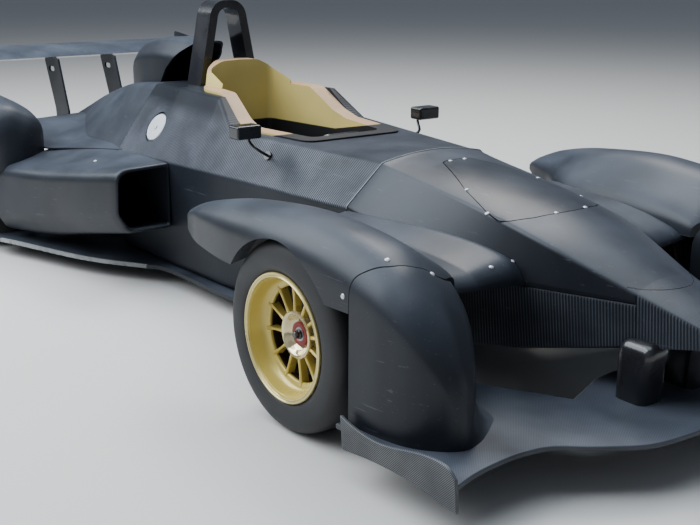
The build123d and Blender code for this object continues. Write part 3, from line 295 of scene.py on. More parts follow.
# Bluish dust colour: partly dust, partly a painted reflection of the sky on what faces up.
DUST_AND_SKY_SHEEN = (0.135, 0.158, 0.20)
SCRATCH = (0.10, 0.11, 0.13)
SPECK = (0.3, 0.3, 0.3)
CLOTH_TURN = (1.0, 1.0, -1.0)
print("dust colour:", DUST_AND_SKY_SHEEN)

# %% Wear, dust and painted sky sheen
SCRATCH_STRETCH = (2.0, 30.0, 46.0)
SCRATCHES = (2.2, 0.66, 0.70, 9.0)
SCRATCH_STRENGTH = 0.3
DUST_AND_SHEEN_PATCHES = (5.5, 0.10, 0.90, 9.0)
FACING_UP = (0.2, 0.9)
SPECK_SCALE = 70.0
SPECK_EDGE = (0.085, 0.06)
SPECK_STRENGTH = 0.14


def worn_color(material, place, color, dust):
    """The colour with scratches, dust with a painted sky sheen, and specks, and the mask of their patches."""
    scratches = noise_mask(material, place_on_car(material, SCRATCH_STRETCH), *SCRATCHES)
    color = blend_colors(material, multiply(material, scratches, SCRATCH_STRENGTH), color, SCRATCH)
    patches = noise_mask(material, place, *DUST_AND_SHEEN_PATCHES)
    # Dust and painted sky sheen, both only on what faces up.
    dust_and_sheen_mask = multiply(material, facing_mask(material, *FACING_UP), patches)
    color = blend_colors(material, multiply(material, dust_and_sheen_mask, dust), color, DUST_AND_SKY_SHEEN)
    cells = add_node(material, "ShaderNodeTexVoronoi", Scale=SPECK_SCALE)
    link(material, place, cells.inputs["Vector"])
    specks = rescale(material, cells.outputs["Distance"], *SPECK_EDGE)
    return blend_colors(material, multiply(material, specks, SPECK_STRENGTH), color, SPECK), patches


print("scratches, dust and specks can be added")

# %% Carbon finishes
CARBON_CLOUDS = (2.6, 0.35, 0.70, 6.0)
CLOUD_STRENGTH = 0.6
RESIN_GRAIN = (420.0, 0.2, 0.8, 2.0)
CARBON_GLOSSIER, CARBON_DULLER = 0.07, 0.14
CARBON_BUMP = (0.15, 0.0006)


def make_carbon(name, ribs=None, rib_size=0.012, rib_strength=0.9, rib_highlight=RIB_HIGHLIGHT, dust=0.50,
                roughness=0.36, specular=0.30):
    """Bare carbon; ribs says how the cloth lies, or is None where no cloth shows."""
    material, shader = start_finish(name, CARBON_DARK, roughness)
    place = place_on_car(material, CLOTH_TURN)
    cloudy = noise_mask(material, place, *CARBON_CLOUDS)
    color = blend_colors(material, multiply(material, cloudy, CLOUD_STRENGTH), CARBON_DARK, CARBON_LIGHT)
    height = noise_mask(material, place, *RESIN_GRAIN)
    if ribs:
        color, height = cloth_color(material, place, color, ribs, rib_size, rib_strength, rib_highlight)
    color, patches = worn_color(material, place, color, dust)
    link(material, color, shader.inputs["Base Color"])
    roughen(material, shader, patches, roughness - CARBON_GLOSSIER, roughness + CARBON_DULLER)
    shader.inputs["Specular IOR Level"].default_value = specular
    add_bump(material, shader, height, *CARBON_BUMP)
    return material


# The dust amount also sets the painted sky sheen; the wing's is mostly painted reflection.
smooth_carbon = make_carbon("smooth_carbon")
hatch_carbon = make_carbon("hatch_carbon", dust=0.30, roughness=0.32)
ribbed_carbon = make_carbon("ribbed_carbon", "TUB", rib_size=0.0092, dust=0.06, specular=0.16)
cone_carbon = make_carbon("cone_carbon", "TUB", rib_size=0.0092)
wing_carbon = make_carbon("wing_carbon", dust=0.75, roughness=0.20, specular=0.45)
splitter_carbon = make_carbon(
    "splitter_carbon", "DIAGONAL", rib_size=0.008, rib_strength=0.5, dust=0.52, specular=0.4
)
twill_carbon = make_carbon(
    "twill_carbon", "DIAGONAL", rib_size=0.0083, rib_strength=0.75, rib_highlight=TWILL_HIGHLIGHT
)
print("carbon finishes:", smooth_carbon.name, ribbed_carbon.name, twill_carbon.name)

# %% [markdown]
# The cockpit's cloth
#
# The cockpit is lined with golden aramid cloth, bleached to a peach tan where it faces the sky, and its lower
# front edge is black. Three materials on three groups of faces would do it too. One material is simpler,
# because the way the surface faces and a slanting line in the side view already tell the three apart.

# %% Aramid liner
LINER_PLAIN = (0.62, 0.49, 0.17)
LINER_GOLD = (0.66, 0.52, 0.16)
LINER_BROWN = (0.50, 0.39, 0.11)
LINER_THREAD = (0.78, 0.64, 0.28)
LINER_TAN = (0.48, 0.29, 0.15)
LINER_PEACH = (0.58, 0.39, 0.23)
LINER_BLACK = (0.006, 0.006, 0.007)
LINER_CLOUDS = (9.0, 0.3, 0.75, 7.0)
LINER_TOP = (0.35, 0.6)
LINER_BUMP = (0.2, 0.0004)
WEAVE_SCALE = 260.0
BLACK_EDGE_X = (0.08, 0.33)
BLACK_EDGE_Z = (0.608, 0.655)
BLACK_EDGE_BLUR = (-0.001, 0.001)


def above_black_edge(material):
    """A mask that is 1 above a slanting line in the side view."""
    place = place_on_car(material)
    edge = rescale(material, along_axis(material, place, "X"), *BLACK_EDGE_X, *BLACK_EDGE_Z)
    above = add_node(material, "ShaderNodeMath", operation="SUBTRACT")
    link(material, along_axis(material, place, "Z"), above.inputs[0])
    link(material, edge, above.inputs[1])
    return rescale(material, above.outputs["Value"], *BLACK_EDGE_BLUR)


def make_liner(name):
    """Aramid cloth: golden walls, a bleached top and a black edge."""
    material, shader = start_finish(name, LINER_PLAIN, 0.5)
    place = place_on_car(material)
    weave = add_node(material, "ShaderNodeTexChecker", Scale=WEAVE_SCALE)
    link(material, place, weave.inputs["Vector"])
    cloudy = noise_mask(material, place, *LINER_CLOUDS)
    wall = blend_colors(material, multiply(material, cloudy, 0.5), LINER_GOLD, LINER_BROWN)
    wall = blend_colors(material, multiply(material, weave.outputs["Fac"], 0.18), wall, LINER_THREAD)
    top = blend_colors(material, multiply(material, cloudy, 0.6), LINER_TAN, LINER_PEACH)
    color = blend_colors(material, facing_mask(material, *LINER_TOP), wall, top)
    color = blend_colors(material, above_black_edge(material), LINER_BLACK, color)
    link(material, color, shader.inputs["Base Color"])
    add_bump(material, shader, weave.outputs["Fac"], *LINER_BUMP)
    return material


aramid = make_liner("aramid_liner")
print("liner finish:", aramid.name)

# %% [markdown]
# Wheels, tyres, metals and paint
#
# The wheels are painted a brass yellow, worn brighter on the lip. The tyres are soft slicks that have picked
# up dust. Brake discs, castings and the hoop are bare or painted metal. None of them has a pattern of its
# own, so one function with fine grain, cloudy wear and an uneven gloss serves for all.

# %% Speckled finishes
WEAR_CLOUDS = (7.0, 0.35, 0.72, 7.0)
# Low, high and detail, because each finish has a scale of its own for the grain
FINE_GRAIN = (0.3, 0.7, 3.0)
SPECKLE_GLOSSIER, SPECKLE_DULLER = 0.08, 0.12
SPECKLE_BUMP = (0.10, 0.0005)


def make_speckled(name, color, worn, roughness, metallic=0.0, grain=180.0, wear=0.5, coat=0.0):
    """A finish with fine grain, cloudy wear and a slightly uneven gloss."""
    material, shader = start_finish(name, color, roughness, metallic)
    place = place_on_car(material)
    cloudy = noise_mask(material, place, *WEAR_CLOUDS)
    fine = noise_mask(material, place, grain, *FINE_GRAIN)
    mixed = blend_colors(material, multiply(material, cloudy, wear), color, worn)
    link(material, mixed, shader.inputs["Base Color"])
    roughen(material, shader, cloudy, roughness - SPECKLE_GLOSSIER, roughness + SPECKLE_DULLER)
    add_bump(material, shader, fine, *SPECKLE_BUMP)
    shader.inputs["Coat Weight"].default_value = coat
    return material


brass_paint = make_speckled("brass_paint", (0.60, 0.47, 0.11), (0.48, 0.36, 0.08), 0.32, 0.3, coat=0.4)
worn_brass = make_speckled("worn_brass", (0.66, 0.55, 0.22), (0.46, 0.36, 0.12), 0.24, 0.5, coat=0.3)
bright_brass = make_speckled("bright_brass", (0.74, 0.64, 0.38), (0.60, 0.48, 0.20), 0.16, 0.7, coat=0.5)
red_anodised = make_speckled("red_anodised", (0.20, 0.022, 0.018), (0.09, 0.012, 0.012), 0.34, 0.5)
# Painted shade: dark brown for the shade deep in the rim's barrel.
painted_barrel_shade = make_speckled("painted_barrel_shade", (0.035, 0.022, 0.014), (0.07, 0.045, 0.03), 0.5, 0.4)
slick_rubber = make_speckled(
    "slick_rubber", (0.009, 0.009, 0.010), (0.022, 0.021, 0.021), 0.62, grain=900.0
)
cast_metal = make_speckled("cast_metal", (0.36, 0.36, 0.37), (0.20, 0.20, 0.21), 0.45, 0.85)
dark_steel = make_speckled("dark_steel", (0.10, 0.085, 0.075), (0.05, 0.035, 0.03), 0.4, 0.7)
black_paint = make_speckled("black_paint", (0.008, 0.008, 0.010), (0.03, 0.03, 0.033), 0.26, coat=0.3)
silver_cap = make_speckled("silver_cap", (0.66, 0.67, 0.70), (0.46, 0.47, 0.50), 0.34, 0.3)
# Pale strip colour: a painted highlight along a panel's edge.
painted_edge_highlight = make_speckled("painted_edge_highlight", (0.30, 0.32, 0.35), (0.16, 0.17, 0.19), 0.4)
frayed_cloth = make_speckled(
    "frayed_cloth", (0.30, 0.31, 0.31), (0.07, 0.07, 0.075), 0.7, grain=60.0, wear=0.9
)
print("finishes so far:", len(bpy.data.materials))

# %% [markdown]
# Dressing the CAD pieces
#
# The record of the car names a material slot for every CAD piece. Each slot gets one finish, and four pieces
# that look different from their neighbours get one of their own. The finishes could be given by hand, piece
# by piece, but going by slot means that none can be forgotten.

# %% Give every CAD piece its finish
FINISH_OF_SLOT = {
    "bare_carbon": smooth_carbon,
    "aramid_liner": aramid,
    "tyre": slick_rubber,
    "gold_rim": brass_paint,
    "steel": dark_steel,
    "cast_aluminium": cast_metal,
    "black_trim": black_paint,
    "filler_silver": silver_cap,
}
FINISH_OF_NODE = {
    "tub": ribbed_carbon,
    "splitter": splitter_carbon,
    "end_plates": twill_carbon,
    "rear_wing": wing_carbon,
}


def dress(piece, finish):
    """Gives a piece one finish."""
    piece.data.materials.clear()
    piece.data.materials.append(finish)


slot_of_node = {subpart["node"]: subpart["material_slot"] for subpart in frame["record"]["subparts"]}
for node, slot in slot_of_node.items():
    dress(car[node], FINISH_OF_NODE.get(node, FINISH_OF_SLOT[slot]))
print("dressed", len(car), "CAD pieces")

# %% [markdown]
# Smooth skins
#
# The CAD panels are straight between their sections. The real ones bend smoothly, so the finer skins here
# pass through the same sections but bend between them. A subdivision modifier would bend them too, but it
# pulls the skin off its sections. So a table of sections is first turned into rows at short steps, with a
# curve that never swings past the table's own values.

# %% Rows that bend smoothly
def row_slopes(column, gaps):
    """The slope of a column at each of its rows, 0 where it turns back."""
    rises = [(last - first) / gap for first, last, gap in zip(column, column[1:], gaps)]
    inner = [2 * a * b / (a + b) if a * b > 0 else 0.0 for a, b in zip(rises, rises[1:])]
    return [rises[0], *inner, rises[-1]]


def bend_between(start, end, start_slope, end_slope, gap, share):
    """The value part of the way between two rows, on a curve with the two rows' slopes."""
    rise = end - start
    swing = (1 - share) * (start_slope * gap - rise) + share * (rise - end_slope * gap)
    return start + share * rise + share * (1 - share) * swing


def smooth_rows(table, step):
    """Rows at short steps along a table, bending smoothly through its own rows."""
    gaps = [last[0] - first[0] for first, last in zip(table, table[1:])]
    stations, *columns = zip(*table)
    slopes = [row_slopes(column, gaps) for column in columns]
    rows = []
    for index, gap in enumerate(gaps):
        count = max(1, round(abs(gap) / step))
        for part in range(count):
            share = part / count
            row = [stations[index] + share * gap]
            for column, slope in zip(columns, slopes):
                row.append(bend_between(*column[index:index + 2], *slope[index:index + 2], gap, share))
            rows.append(row)
    rows.append(list(table[-1]))
    return rows


print("rows from 0 to 10, every 5:", [row[0] for row in smooth_rows([(0, 0), (10, 1)], 5)])

# %% [markdown]
# Chains
#
# Each row becomes a chain of points around the panel. A few corner points describe it best, the way a
# draughtsman would give them, and each corner is then rolled over by its own radius. Where a skin has soft
# shoulders, its points are spread evenly and eased a little, so that the light glides over it.

# %% Chains with rolled corners
def roll_corners(points, radii, steps=7):
    """A chain of points whose inner corners are rolled over, each by its own radius."""
    chain = [Vector(points[0])]
    for before, corner, after, radius in zip(points, points[1:], points[2:], radii):
        before, corner, after = Vector(before), Vector(corner), Vector(after)
        back, ahead = before - corner, after - corner
        reach = radius / max(math.tan(back.angle(ahead) / 2), 0.05)
        start = corner + back.normalized() * min(reach, back.length * 0.49)
        end = corner + ahead.normalized() * min(reach, ahead.length * 0.49)
        for part in range(steps + 1):
            share = part / steps
            chain.append(start * (1 - share) ** 2 + corner * 2 * share * (1 - share) + end * share ** 2)
    chain.append(Vector(points[-1]))
    return chain


def spread_evenly(chain, count):
    """The same chain with its points at even distances."""
    lengths = [0.0]
    for first, last in zip(chain, chain[1:]):
        lengths.append(lengths[-1] + (last - first).length)
    spread = []
    index = 0
    for part in range(count):
        goal = lengths[-1] * part / (count - 1)
        while index < len(chain) - 2 and lengths[index + 1] < goal:
            index += 1
        share = (goal - lengths[index]) / max(lengths[index + 1] - lengths[index], 1e-9)
        spread.append(chain[index].lerp(chain[index + 1], share))
    return spread


def relax(chain, passes):
    """Eases the bends of a chain and leaves its two ends."""
    for _ in range(passes):
        eased = [(before + after) / 2 for before, after in zip(chain, chain[2:])]
        chain = [chain[0], *[(old + new) / 2 for old, new in zip(chain[1:-1], eased)], chain[-1]]
    return chain


print("points of a rolled corner:", len(roll_corners([(0, 0), (10, 0), (10, 10)], [4.0])))

# %% [markdown]
# From points to pieces
#
# Blender keeps a shape as points and the faces between them. A closed skin is a stack of rings with as many
# points each, four-sided faces from ring to ring, and a cap at each end. Fenders, panels and the tools that
# cut them are all made this way, so one function joins the rings and the others only say where they lie.

# %% Pieces from points and faces
def put_in_scene(name, data):
    """A new object in the scene."""
    thing = bpy.data.objects.new(name, data)
    bpy.context.scene.collection.objects.link(thing)
    return thing


def shade(piece, sharp=35.0):
    """Smooth shading that keeps edges sharper than an angle."""
    piece.data.shade_smooth()
    piece.data.set_sharp_from_angle(angle=math.radians(sharp))


def add_piece(name, vertices, faces, finish, sharp=35.0):
    """A new mesh piece with smooth faces and crisp edges where it turns sharply."""
    mesh = bpy.data.meshes.new(name)
    mesh.from_pydata([tuple(vertex) for vertex in vertices], [], faces)
    shape = bmesh.new()
    shape.from_mesh(mesh)
    bmesh.ops.recalc_face_normals(shape, faces=shape.faces)
    shape.to_mesh(mesh)
    shape.free()
    piece = put_in_scene(name, mesh)
    dress(piece, finish)
    shade(piece, sharp)
    return piece


print("pieces can be made from points and faces")

# %% Faces between rings
def faces_between(rings, count, closed=False):
    """Four-sided faces from ring to ring, and from the last to the first if closed."""
    faces = []
    for ring in range(rings if closed else rings - 1):
        near, far = ring * count, (ring + 1) % rings * count
        for index in range(count):
            after = (index + 1) % count
            faces.append((near + index, near + after, far + after, far + index))
    return faces


def end_caps(rings, count):
    """The faces that close the first ring and the last."""
    last = (rings - 1) * count
    return [tuple(range(count)), tuple(range(last, last + count))]


def skin(name, rings, finish, sharp=35.0):
    """A closed skin over rings of points."""
    vertices = [point for ring in rings for point in ring]
    count = len(rings[0])
    faces = end_caps(len(rings), count) + faces_between(len(rings), count)
    return add_piece(name, vertices, faces, finish, sharp)


print("faces of a box:", len(end_caps(2, 4) + faces_between(2, 4)))

# %% [markdown]
# Lofts, prisms and turned shapes
#
# Three ways of laying the rings serve nearly the whole car. A long panel has its sections along the car, a
# board or a cutting tool has one outline raised to a thickness, and a wheel is turned about its axle.
# Blender's own screw modifier could turn a wheel too, but these rings go through the same few functions as
# everything else.

# %% Lofts, prisms and turned shapes
def loft(name, sections, finish, sharp=35.0):
    """A skin along the car over sections, given as (station, chain of (y, z))."""
    rings = [[at_station(station, y, z) for y, z in chain] for station, chain in sections]
    return skin(name, rings, finish, sharp)


def prism(name, outline, low, high):
    """A block with a level outline of (station, y) points, from one height to another."""
    rings = [[at_station(station, y, z) for station, y in outline] for z in (low, high)]
    return skin(name, rings, smooth_carbon)


def spin(name, profile, axle, finish, steps=96, closed=True, sharp=35.0):
    """A shape turned about an axle along Y; the profile is (radius, y), in millimetres."""
    vertices = []
    for radius, y in profile:
        for part in range(steps):
            angle = 2 * math.pi * part / steps
            vertices.append(axle + Vector((radius * math.cos(angle), y, radius * math.sin(angle))) / 1000)
    faces = faces_between(len(profile), steps, closed)
    if not closed:
        faces += end_caps(len(profile), steps)
    return add_piece(name, vertices, faces, finish, sharp)


print("lofts, prisms and turned shapes can be made")

# %% [markdown]
# Cutting, mirroring and fitting
#
# Openings are cut with a boolean, as a panel is trimmed after moulding: a tool is laid over the piece and
# taken away. A mirror modifier would make both sides at once, but left and right pieces have to stay apart,
# so a left piece is copied and turned over. Every new piece is then told which body it moves with, and the
# CAD pieces it stands for are hidden.

# %% Cutting, mirroring and fitting
def carve(piece, tool, operation="DIFFERENCE"):
    """Shapes a piece with a tool for good, and clears the tool away."""
    cut = piece.modifiers.new("cut", "BOOLEAN")
    cut.operation = operation
    cut.solver = "EXACT"
    cut.object = tool
    bpy.context.view_layer.update()
    shaped = bpy.data.meshes.new_from_object(piece.evaluated_get(bpy.context.evaluated_depsgraph_get()))
    piece.modifiers.clear()
    piece.data = shaped
    shade(piece)
    bpy.data.objects.remove(tool, do_unlink=True)


def mirrored_copy(piece, name):
    """The same piece on the other side of the car."""
    mesh = piece.data.copy()
    mesh.transform(Matrix.Scale(-1, 4, (0, 1, 0)))
    mesh.flip_normals()
    return put_in_scene(name, mesh)


def fit_to_car(piece, body, slot, *nodes):
    """The piece moves with a body and stands for CAD nodes, which are hidden; slot is not used."""
    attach(piece, body)
    if nodes:
        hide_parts(*nodes)


print("pieces can be cut, mirrored and fitted")

# %% [markdown]
# Fenders and pods
#
# Each wheel is covered by a long fender. A section of it is an upright side, a broad crest and another side,
# rolled over softly between. It could be sculpted, but these tables hold the same sizes as the CAD model, so
# the skin is sure to lie where the CAD fender does. Ahead of the front wheel a pod carries the fender's shape
# down to the splitter, where it spreads out to a foot.

# %% Sections of the fenders and pods
FENDER_SECTIONS = [
    # station, inner side, outer side, crest, inner shoulder, outer shoulder, underside
    (-600, 736, 756, 496, 486, 488, 470),
    (-560, 712, 778, 520, 500, 508, 458),
    (-430, 640, 815, 568, 515, 535, 442),
    (-240, 538, 832, 602, 500, 545, 432),
    (20, 503, 836, 620, 500, 552, 430),
    (200, 490, 834, 606, 495, 545, 430),
    (319, 490, 828, 585, 478, 520, 430),
    (414, 520, 822, 546, 425, 490, 420),
    (470, 550, 812, 508, 385, 460, 410),
]
POD_SECTIONS = [
    # station, inner side, outer side, crest, inner shoulder, outer shoulder, foot on the inner side
    (319, 490, 828, 585, 478, 520, 478),
    (414, 520, 822, 546, 425, 490, 480),
    (470, 550, 812, 508, 385, 460, 490),
    (511, 580, 800, 467, 350, 425, 506),
    (545, 606, 782, 421, 315, 380, 546),
    (575, 632, 757, 366, 285, 325, 590),
    (592, 648, 740, 322, 255, 285, 617),
    (603, 662, 724, 276, 228, 245, 640),
    (610, 675, 710, 226, 196, 205, 660),
    (614, 684, 698, 176, 160, 164, 678),
]
REAR_FENDER_SECTIONS = [
    # the same columns as for the front fender
    (REAR_AXLE_STATION + 370, 655, 745, 528, 490, 500, 372),
    (REAR_AXLE_STATION + 350, 600, 785, 582, 535, 525, 368),
    (REAR_AXLE_STATION + 300, 535, 812, 636, 565, 560, 385),
    (REAR_AXLE_STATION + 170, 522, 826, 668, 585, 590, 425),
    (REAR_AXLE_STATION, 515, 834, 676, 595, 600, 430),
    (REAR_AXLE_STATION - 236, 510, 826, 650, 575, 575, 430),
    (REAR_AXLE_STATION - 396, 545, 806, 585, 520, 520, 440),
    (REAR_AXLE_STATION - 466, 610, 770, 520, 485, 485, 445),
]
print("fender sections:", len(FENDER_SECTIONS), "pod sections:", len(POD_SECTIONS))

# %% Chains of the fenders and pods
SHOULDER_SHARES = (0.36, 0.42, 0.32, 0.28)
POD_FOOT_Z = 140.0
FENDER_POINTS = 84


def crest_corners(row):
    """The corners of a section from shoulder to shoulder over the crest, and their radii."""
    station, inner, outer, crest, inner_shoulder, outer_shoulder, lowest = row
    width = outer - inner
    corners = [
        (inner, inner_shoulder), (inner + 0.5 * width, crest), (outer - 0.2 * width, crest),
        (outer, outer_shoulder),
    ]
    return corners, [share * width for share in SHOULDER_SHARES]


def fender_chain(row):
    """The section of a fender, from its inner hem over the crest to its outer hem."""
    corners, radii = crest_corners(row)
    inner, outer, underside = row[1], row[2], row[6]
    chain = roll_corners([(inner, underside), *corners, (outer, underside)], radii)
    return relax(spread_evenly(chain, FENDER_POINTS), 4)


def pod_chain(row):
    """The section of a pod, which spreads out to a foot on the splitter along its inner side."""
    corners, radii = crest_corners(row)
    inner, outer, inner_shoulder, foot = row[1], row[2], row[4], row[6]
    low, bend = Vector((foot, POD_FOOT_Z)), Vector((inner, POD_FOOT_Z + 6))
    top = Vector((inner, POD_FOOT_Z + 0.6 * (inner_shoulder - POD_FOOT_Z)))
    flare = [low * (1 - t) ** 2 + bend * 2 * t * (1 - t) + top * t ** 2 for t in (0, 0.2, 0.4, 0.6, 0.8)]
    chain = flare + roll_corners([top, *corners, (outer, POD_FOOT_Z)], radii)
    return relax(spread_evenly(chain, FENDER_POINTS), 2)


print("points over a fender:", len(fender_chain(FENDER_SECTIONS[0])))

# %% [markdown]
# The joint and the wheels' spaces
#
# The front fender and its pod are two mouldings that meet in a bowed joint with a narrow gap. If each edge
# were drawn on its own, the gap would come out uneven, so both skins are cut along the same curve. The space
# for each wheel is a shape turned about its axle and taken away. The front one is shaped to let the wheel
# steer.

# %% Cut the joint and the wheels' spaces
POD_SEAM = [
    (318, 856), (318, 826), (350, 795), (388, 752), (408, 690), (408, 630), (385, 570), (340, 500),
    (318, 470),
]
POD_SEAM_RADIUS = 60.0
POD_SEAM_GAP = 2.0
POD_SEAM_LEVELS = (100.0, 800.0)
FRONT_WELL = [
    # radius and distance from the middle of the space that the steered wheel needs
    (250, 553), (263, 566), (275, 585), (280, 600), (288, 640), (302, 690), (309, 740), (302, 765),
    (287, 800), (270, 848),
]
REAR_WELL = [(304, 538), (304, 850)]
FENDER_STEP = 14.0
POD_STEP = 6.0


def make_pontoon(name, table, chain_of, step):
    """A smooth left fender or pod."""
    return loft(name, [(row[0], chain_of(row)) for row in smooth_rows(table, step)], smooth_carbon)


front_fender = make_pontoon("fender_skin_left", FENDER_SECTIONS, fender_chain, FENDER_STEP)
front_axle = at_station(0, 0, FRONT_TYRE_RADIUS)
carve(front_fender, spin("front_well", FRONT_WELL, front_axle, smooth_carbon, closed=False))
front_pod = make_pontoon("front_pod_skin_left", POD_SECTIONS, pod_chain, POD_STEP)
seam = roll_corners(POD_SEAM, [POD_SEAM_RADIUS] * (len(POD_SEAM) - 2), 6)
carve(front_fender, prism("ahead_of_seam", [(900, 856), *seam, (900, 470)], *POD_SEAM_LEVELS))
behind_seam = [(100, 856), *[point + Vector((POD_SEAM_GAP, 0)) for point in seam], (100, 470)]
carve(front_pod, prism("behind_seam", behind_seam, *POD_SEAM_LEVELS))
rear_fender = make_pontoon("rear_fender_skin_left", REAR_FENDER_SECTIONS, fender_chain, FENDER_STEP)
rear_axle = at_station(REAR_AXLE_STATION, 0, REAR_TYRE_RADIUS)
carve(rear_fender, spin("rear_well", REAR_WELL, rear_axle, smooth_carbon, closed=False))
for piece, node in ((front_fender, "fender"), (front_pod, "front_pod"), (rear_fender, "rear_fender")):
    fit_to_car(piece, "chassis", "bare_carbon", f"{node}_left")
    fit_to_car(mirrored_copy(piece, f"{node}_skin_right"), "chassis", "bare_carbon", f"{node}_right")
    print(piece.name, "has", len(piece.data.polygons), "faces")

# %% [markdown]
# Nose
#
# The fairing over the driver's legs has a gently crowned top, a crisp line along each side where it folds
# down, and leaning flanks. The cone carries the same section on to the tip. A free surface could follow it
# too, but the fold would waver. A section told by its crown, its fold and its base keeps the fold in one
# clean line from the cockpit to the tip.

# %% Sections of the nose
FAIRING_SECTIONS = [
    # station, crown, fold half width, fold height, lower half width and height, base half width and height
    (-326, 660, 210, 637, 352, 513, 346, 500),
    (-312, 656, 208, 633, 346, 509, 342, 497),
    (-40, 629, 202, 592, 285, 455, 279, 447),
    (282, 575, 195, 536, 210, 402, 204, 388),
    (630, 458, 127, 431, 127, 412, 126, 405),
]
CONE_SECTIONS = [
    # station, crown, fold half width, fold height, bottom half width, bottom height
    (630, 458, 127, 431, 112, 278),
    (814, 402, 100, 380, 90, 321),
    (905, 372, 82, 355, 76, 334),
    (934, 360, 58, 351, 54, 340),
    (940, 352, 40, 347, 38, 343),
]
print("fairing sections:", len(FAIRING_SECTIONS), "cone sections:", len(CONE_SECTIONS))

# %% Chains of the nose
CROWN_POINTS = 9
FLANK_RADIUS = 14.0
FOLD_RADIUS = 18.0


def mirrored_section(points):
    """Section points (y, z) on the other side of the car, in the other order."""
    return [Vector((-point[0], point[1])) for point in reversed(points)]


def crown_points(half, fold_z, crown_z):
    """Points over a crowned top, from its left fold to the middle."""
    shares = [part / CROWN_POINTS for part in range(1, CROWN_POINTS + 1)]
    return [(half * (1 - share), fold_z + (crown_z - fold_z) * (1 - (1 - share) ** 2)) for share in shares]


def folded_chain(below, half, fold_z, crown_z):
    """A symmetric section: points below the fold, the rolled fold and the crowned top."""
    crown = crown_points(half, fold_z, crown_z)
    radii = [FLANK_RADIUS] * (len(below) - 1) + [FOLD_RADIUS]
    rolled = roll_corners([*below, (half, fold_z), crown[0]], radii, 5)
    left = rolled + [Vector(point) for point in crown[1:]]
    return left + mirrored_section(left[:-1])


def fairing_chain(row):
    """The section of the fairing."""
    station, crown_z, half, fold_z, lower_half, lower_z, base_half, base_z = row
    return folded_chain([(base_half, base_z), (lower_half, lower_z)], half, fold_z, crown_z)


def cone_chain(row):
    """The section of the cone."""
    station, crown_z, half, fold_z, bottom_half, bottom_z = row
    return folded_chain([(bottom_half, bottom_z)], half, fold_z, crown_z)


print("points around the fairing:", len(fairing_chain(FAIRING_SECTIONS[0])))

# %% [markdown]
# The hatch in the nose
#
# A hatch closes an opening in the top of the nose. It could be a plate laid on the fairing, but it would
# stand proud of it or sink in where the crown bends. So the same skin is made twice: a pocket is cut out of
# the one, and the other is cut down to a hatch a little smaller than the pocket. The seam between them is
# even, and the two always match.

# %% Nose fairing, hatch and cone
HATCH_OUTLINE = [(-215, 60), (0, 156), (140, 198), (212, 201), (262, 128), (288, 50)]
HATCH_CORNERS = [36.0, 300.0, 200.0, 50.0, 60.0, 200.0]
HATCH_WIDEST_STATION = 200
HATCH_SEAM = 2.5
HATCH_FRONT_EDGE = 4.0
POCKET_LEVELS = (300.0, 800.0)
HATCH_LEVELS = (480.0, 800.0)
FAIRING_STEP = 16.0
CONE_STEP = 10.0


def mirrored_outline(points):
    """Outline points (station, y) on the other side of the car, in the other order."""
    return [Vector((point[0], -point[1])) for point in reversed(points)]


def hatch_outline(grow):
    """The hatch's outline as (station, y), grown by a distance."""
    (rear, rear_y), *others = HATCH_OUTLINE
    half = [(rear - grow, 0), (rear - grow, rear_y + grow)]
    half += [(station + (grow if station > HATCH_WIDEST_STATION else 0), y + grow) for station, y in others]
    half.append((others[-1][0] + HATCH_FRONT_EDGE + grow, 0))
    left = roll_corners(half, HATCH_CORNERS, 8)
    return left + mirrored_outline(left[1:-1])


fairing_rows = [(row[0], fairing_chain(row)) for row in smooth_rows(FAIRING_SECTIONS, FAIRING_STEP)]
fairing_skin = loft("nose_fairing_skin", fairing_rows, smooth_carbon, 30.0)
hatch_skin = loft("nose_hatch_skin", fairing_rows, hatch_carbon, 30.0)
carve(fairing_skin, prism("hatch_pocket", hatch_outline(0.0), *POCKET_LEVELS))
carve(hatch_skin, prism("hatch_block", hatch_outline(-HATCH_SEAM), *HATCH_LEVELS), "INTERSECT")
cone_rows = [(row[0], cone_chain(row)) for row in smooth_rows(CONE_SECTIONS, CONE_STEP)]
cone_skin = loft("nose_cone_skin", cone_rows, cone_carbon, 30.0)
for piece, node in ((fairing_skin, "nose_fairing"), (hatch_skin, "nose_hatch"), (cone_skin, "nose_cone")):
    fit_to_car(piece, "chassis", "bare_carbon", node)
    print(piece.name, "has", len(piece.data.polygons), "faces")

# %% [markdown]
# Bridges
#
# A bridge joins the body to each front fender. It leaves the body with a rolled lip that catches the light,
# dips, and runs into the fender's inner side. It is lofted along the car like the fenders, because its front
# edge turns down in a blunt nose that a flat plate would not have.

# %% Bridges
BRIDGE_SECTIONS = [
    # station, root y, lip y and height, valley y and height, outer y and height, root and outer underside
    (-312, 325, 345, 508, 430, 496, 560, 492, 466, 472),
    (-40, 262, 292, 506, 420, 488, 545, 490, 424, 430),
    (140, 215, 252, 491, 400, 470, 535, 478, 407, 418),
    (240, 190, 238, 472, 384, 452, 530, 456, 393, 416),
    (270, 186, 234, 458, 380, 443, 530, 446, 388, 416),
    (288, 184, 232, 441, 378, 432, 530, 438, 386, 416),
    (299, 184, 231, 420, 376, 420, 530, 430, 386, 416),
    (304, 184, 231, 401, 376, 408, 530, 422, 388, 417),
]
BRIDGE_RADII = [46.0, 90.0]
BRIDGE_LIP_DROP = 24
BRIDGE_LEAST_EDGE = 4


def bridge_chain(row):
    """The left section of a bridge, over its top and back along its underside."""
    station, root, lip, lip_z, valley, valley_z, outer, outer_z, root_under, outer_under = row
    root_z = max(lip_z - BRIDGE_LIP_DROP, root_under + BRIDGE_LEAST_EDGE)
    top = [(root, root_z), (lip, lip_z), (valley, valley_z), (outer, outer_z)]
    return roll_corners(top, BRIDGE_RADII, 10) + [Vector((outer, outer_under)), Vector((root, root_under))]


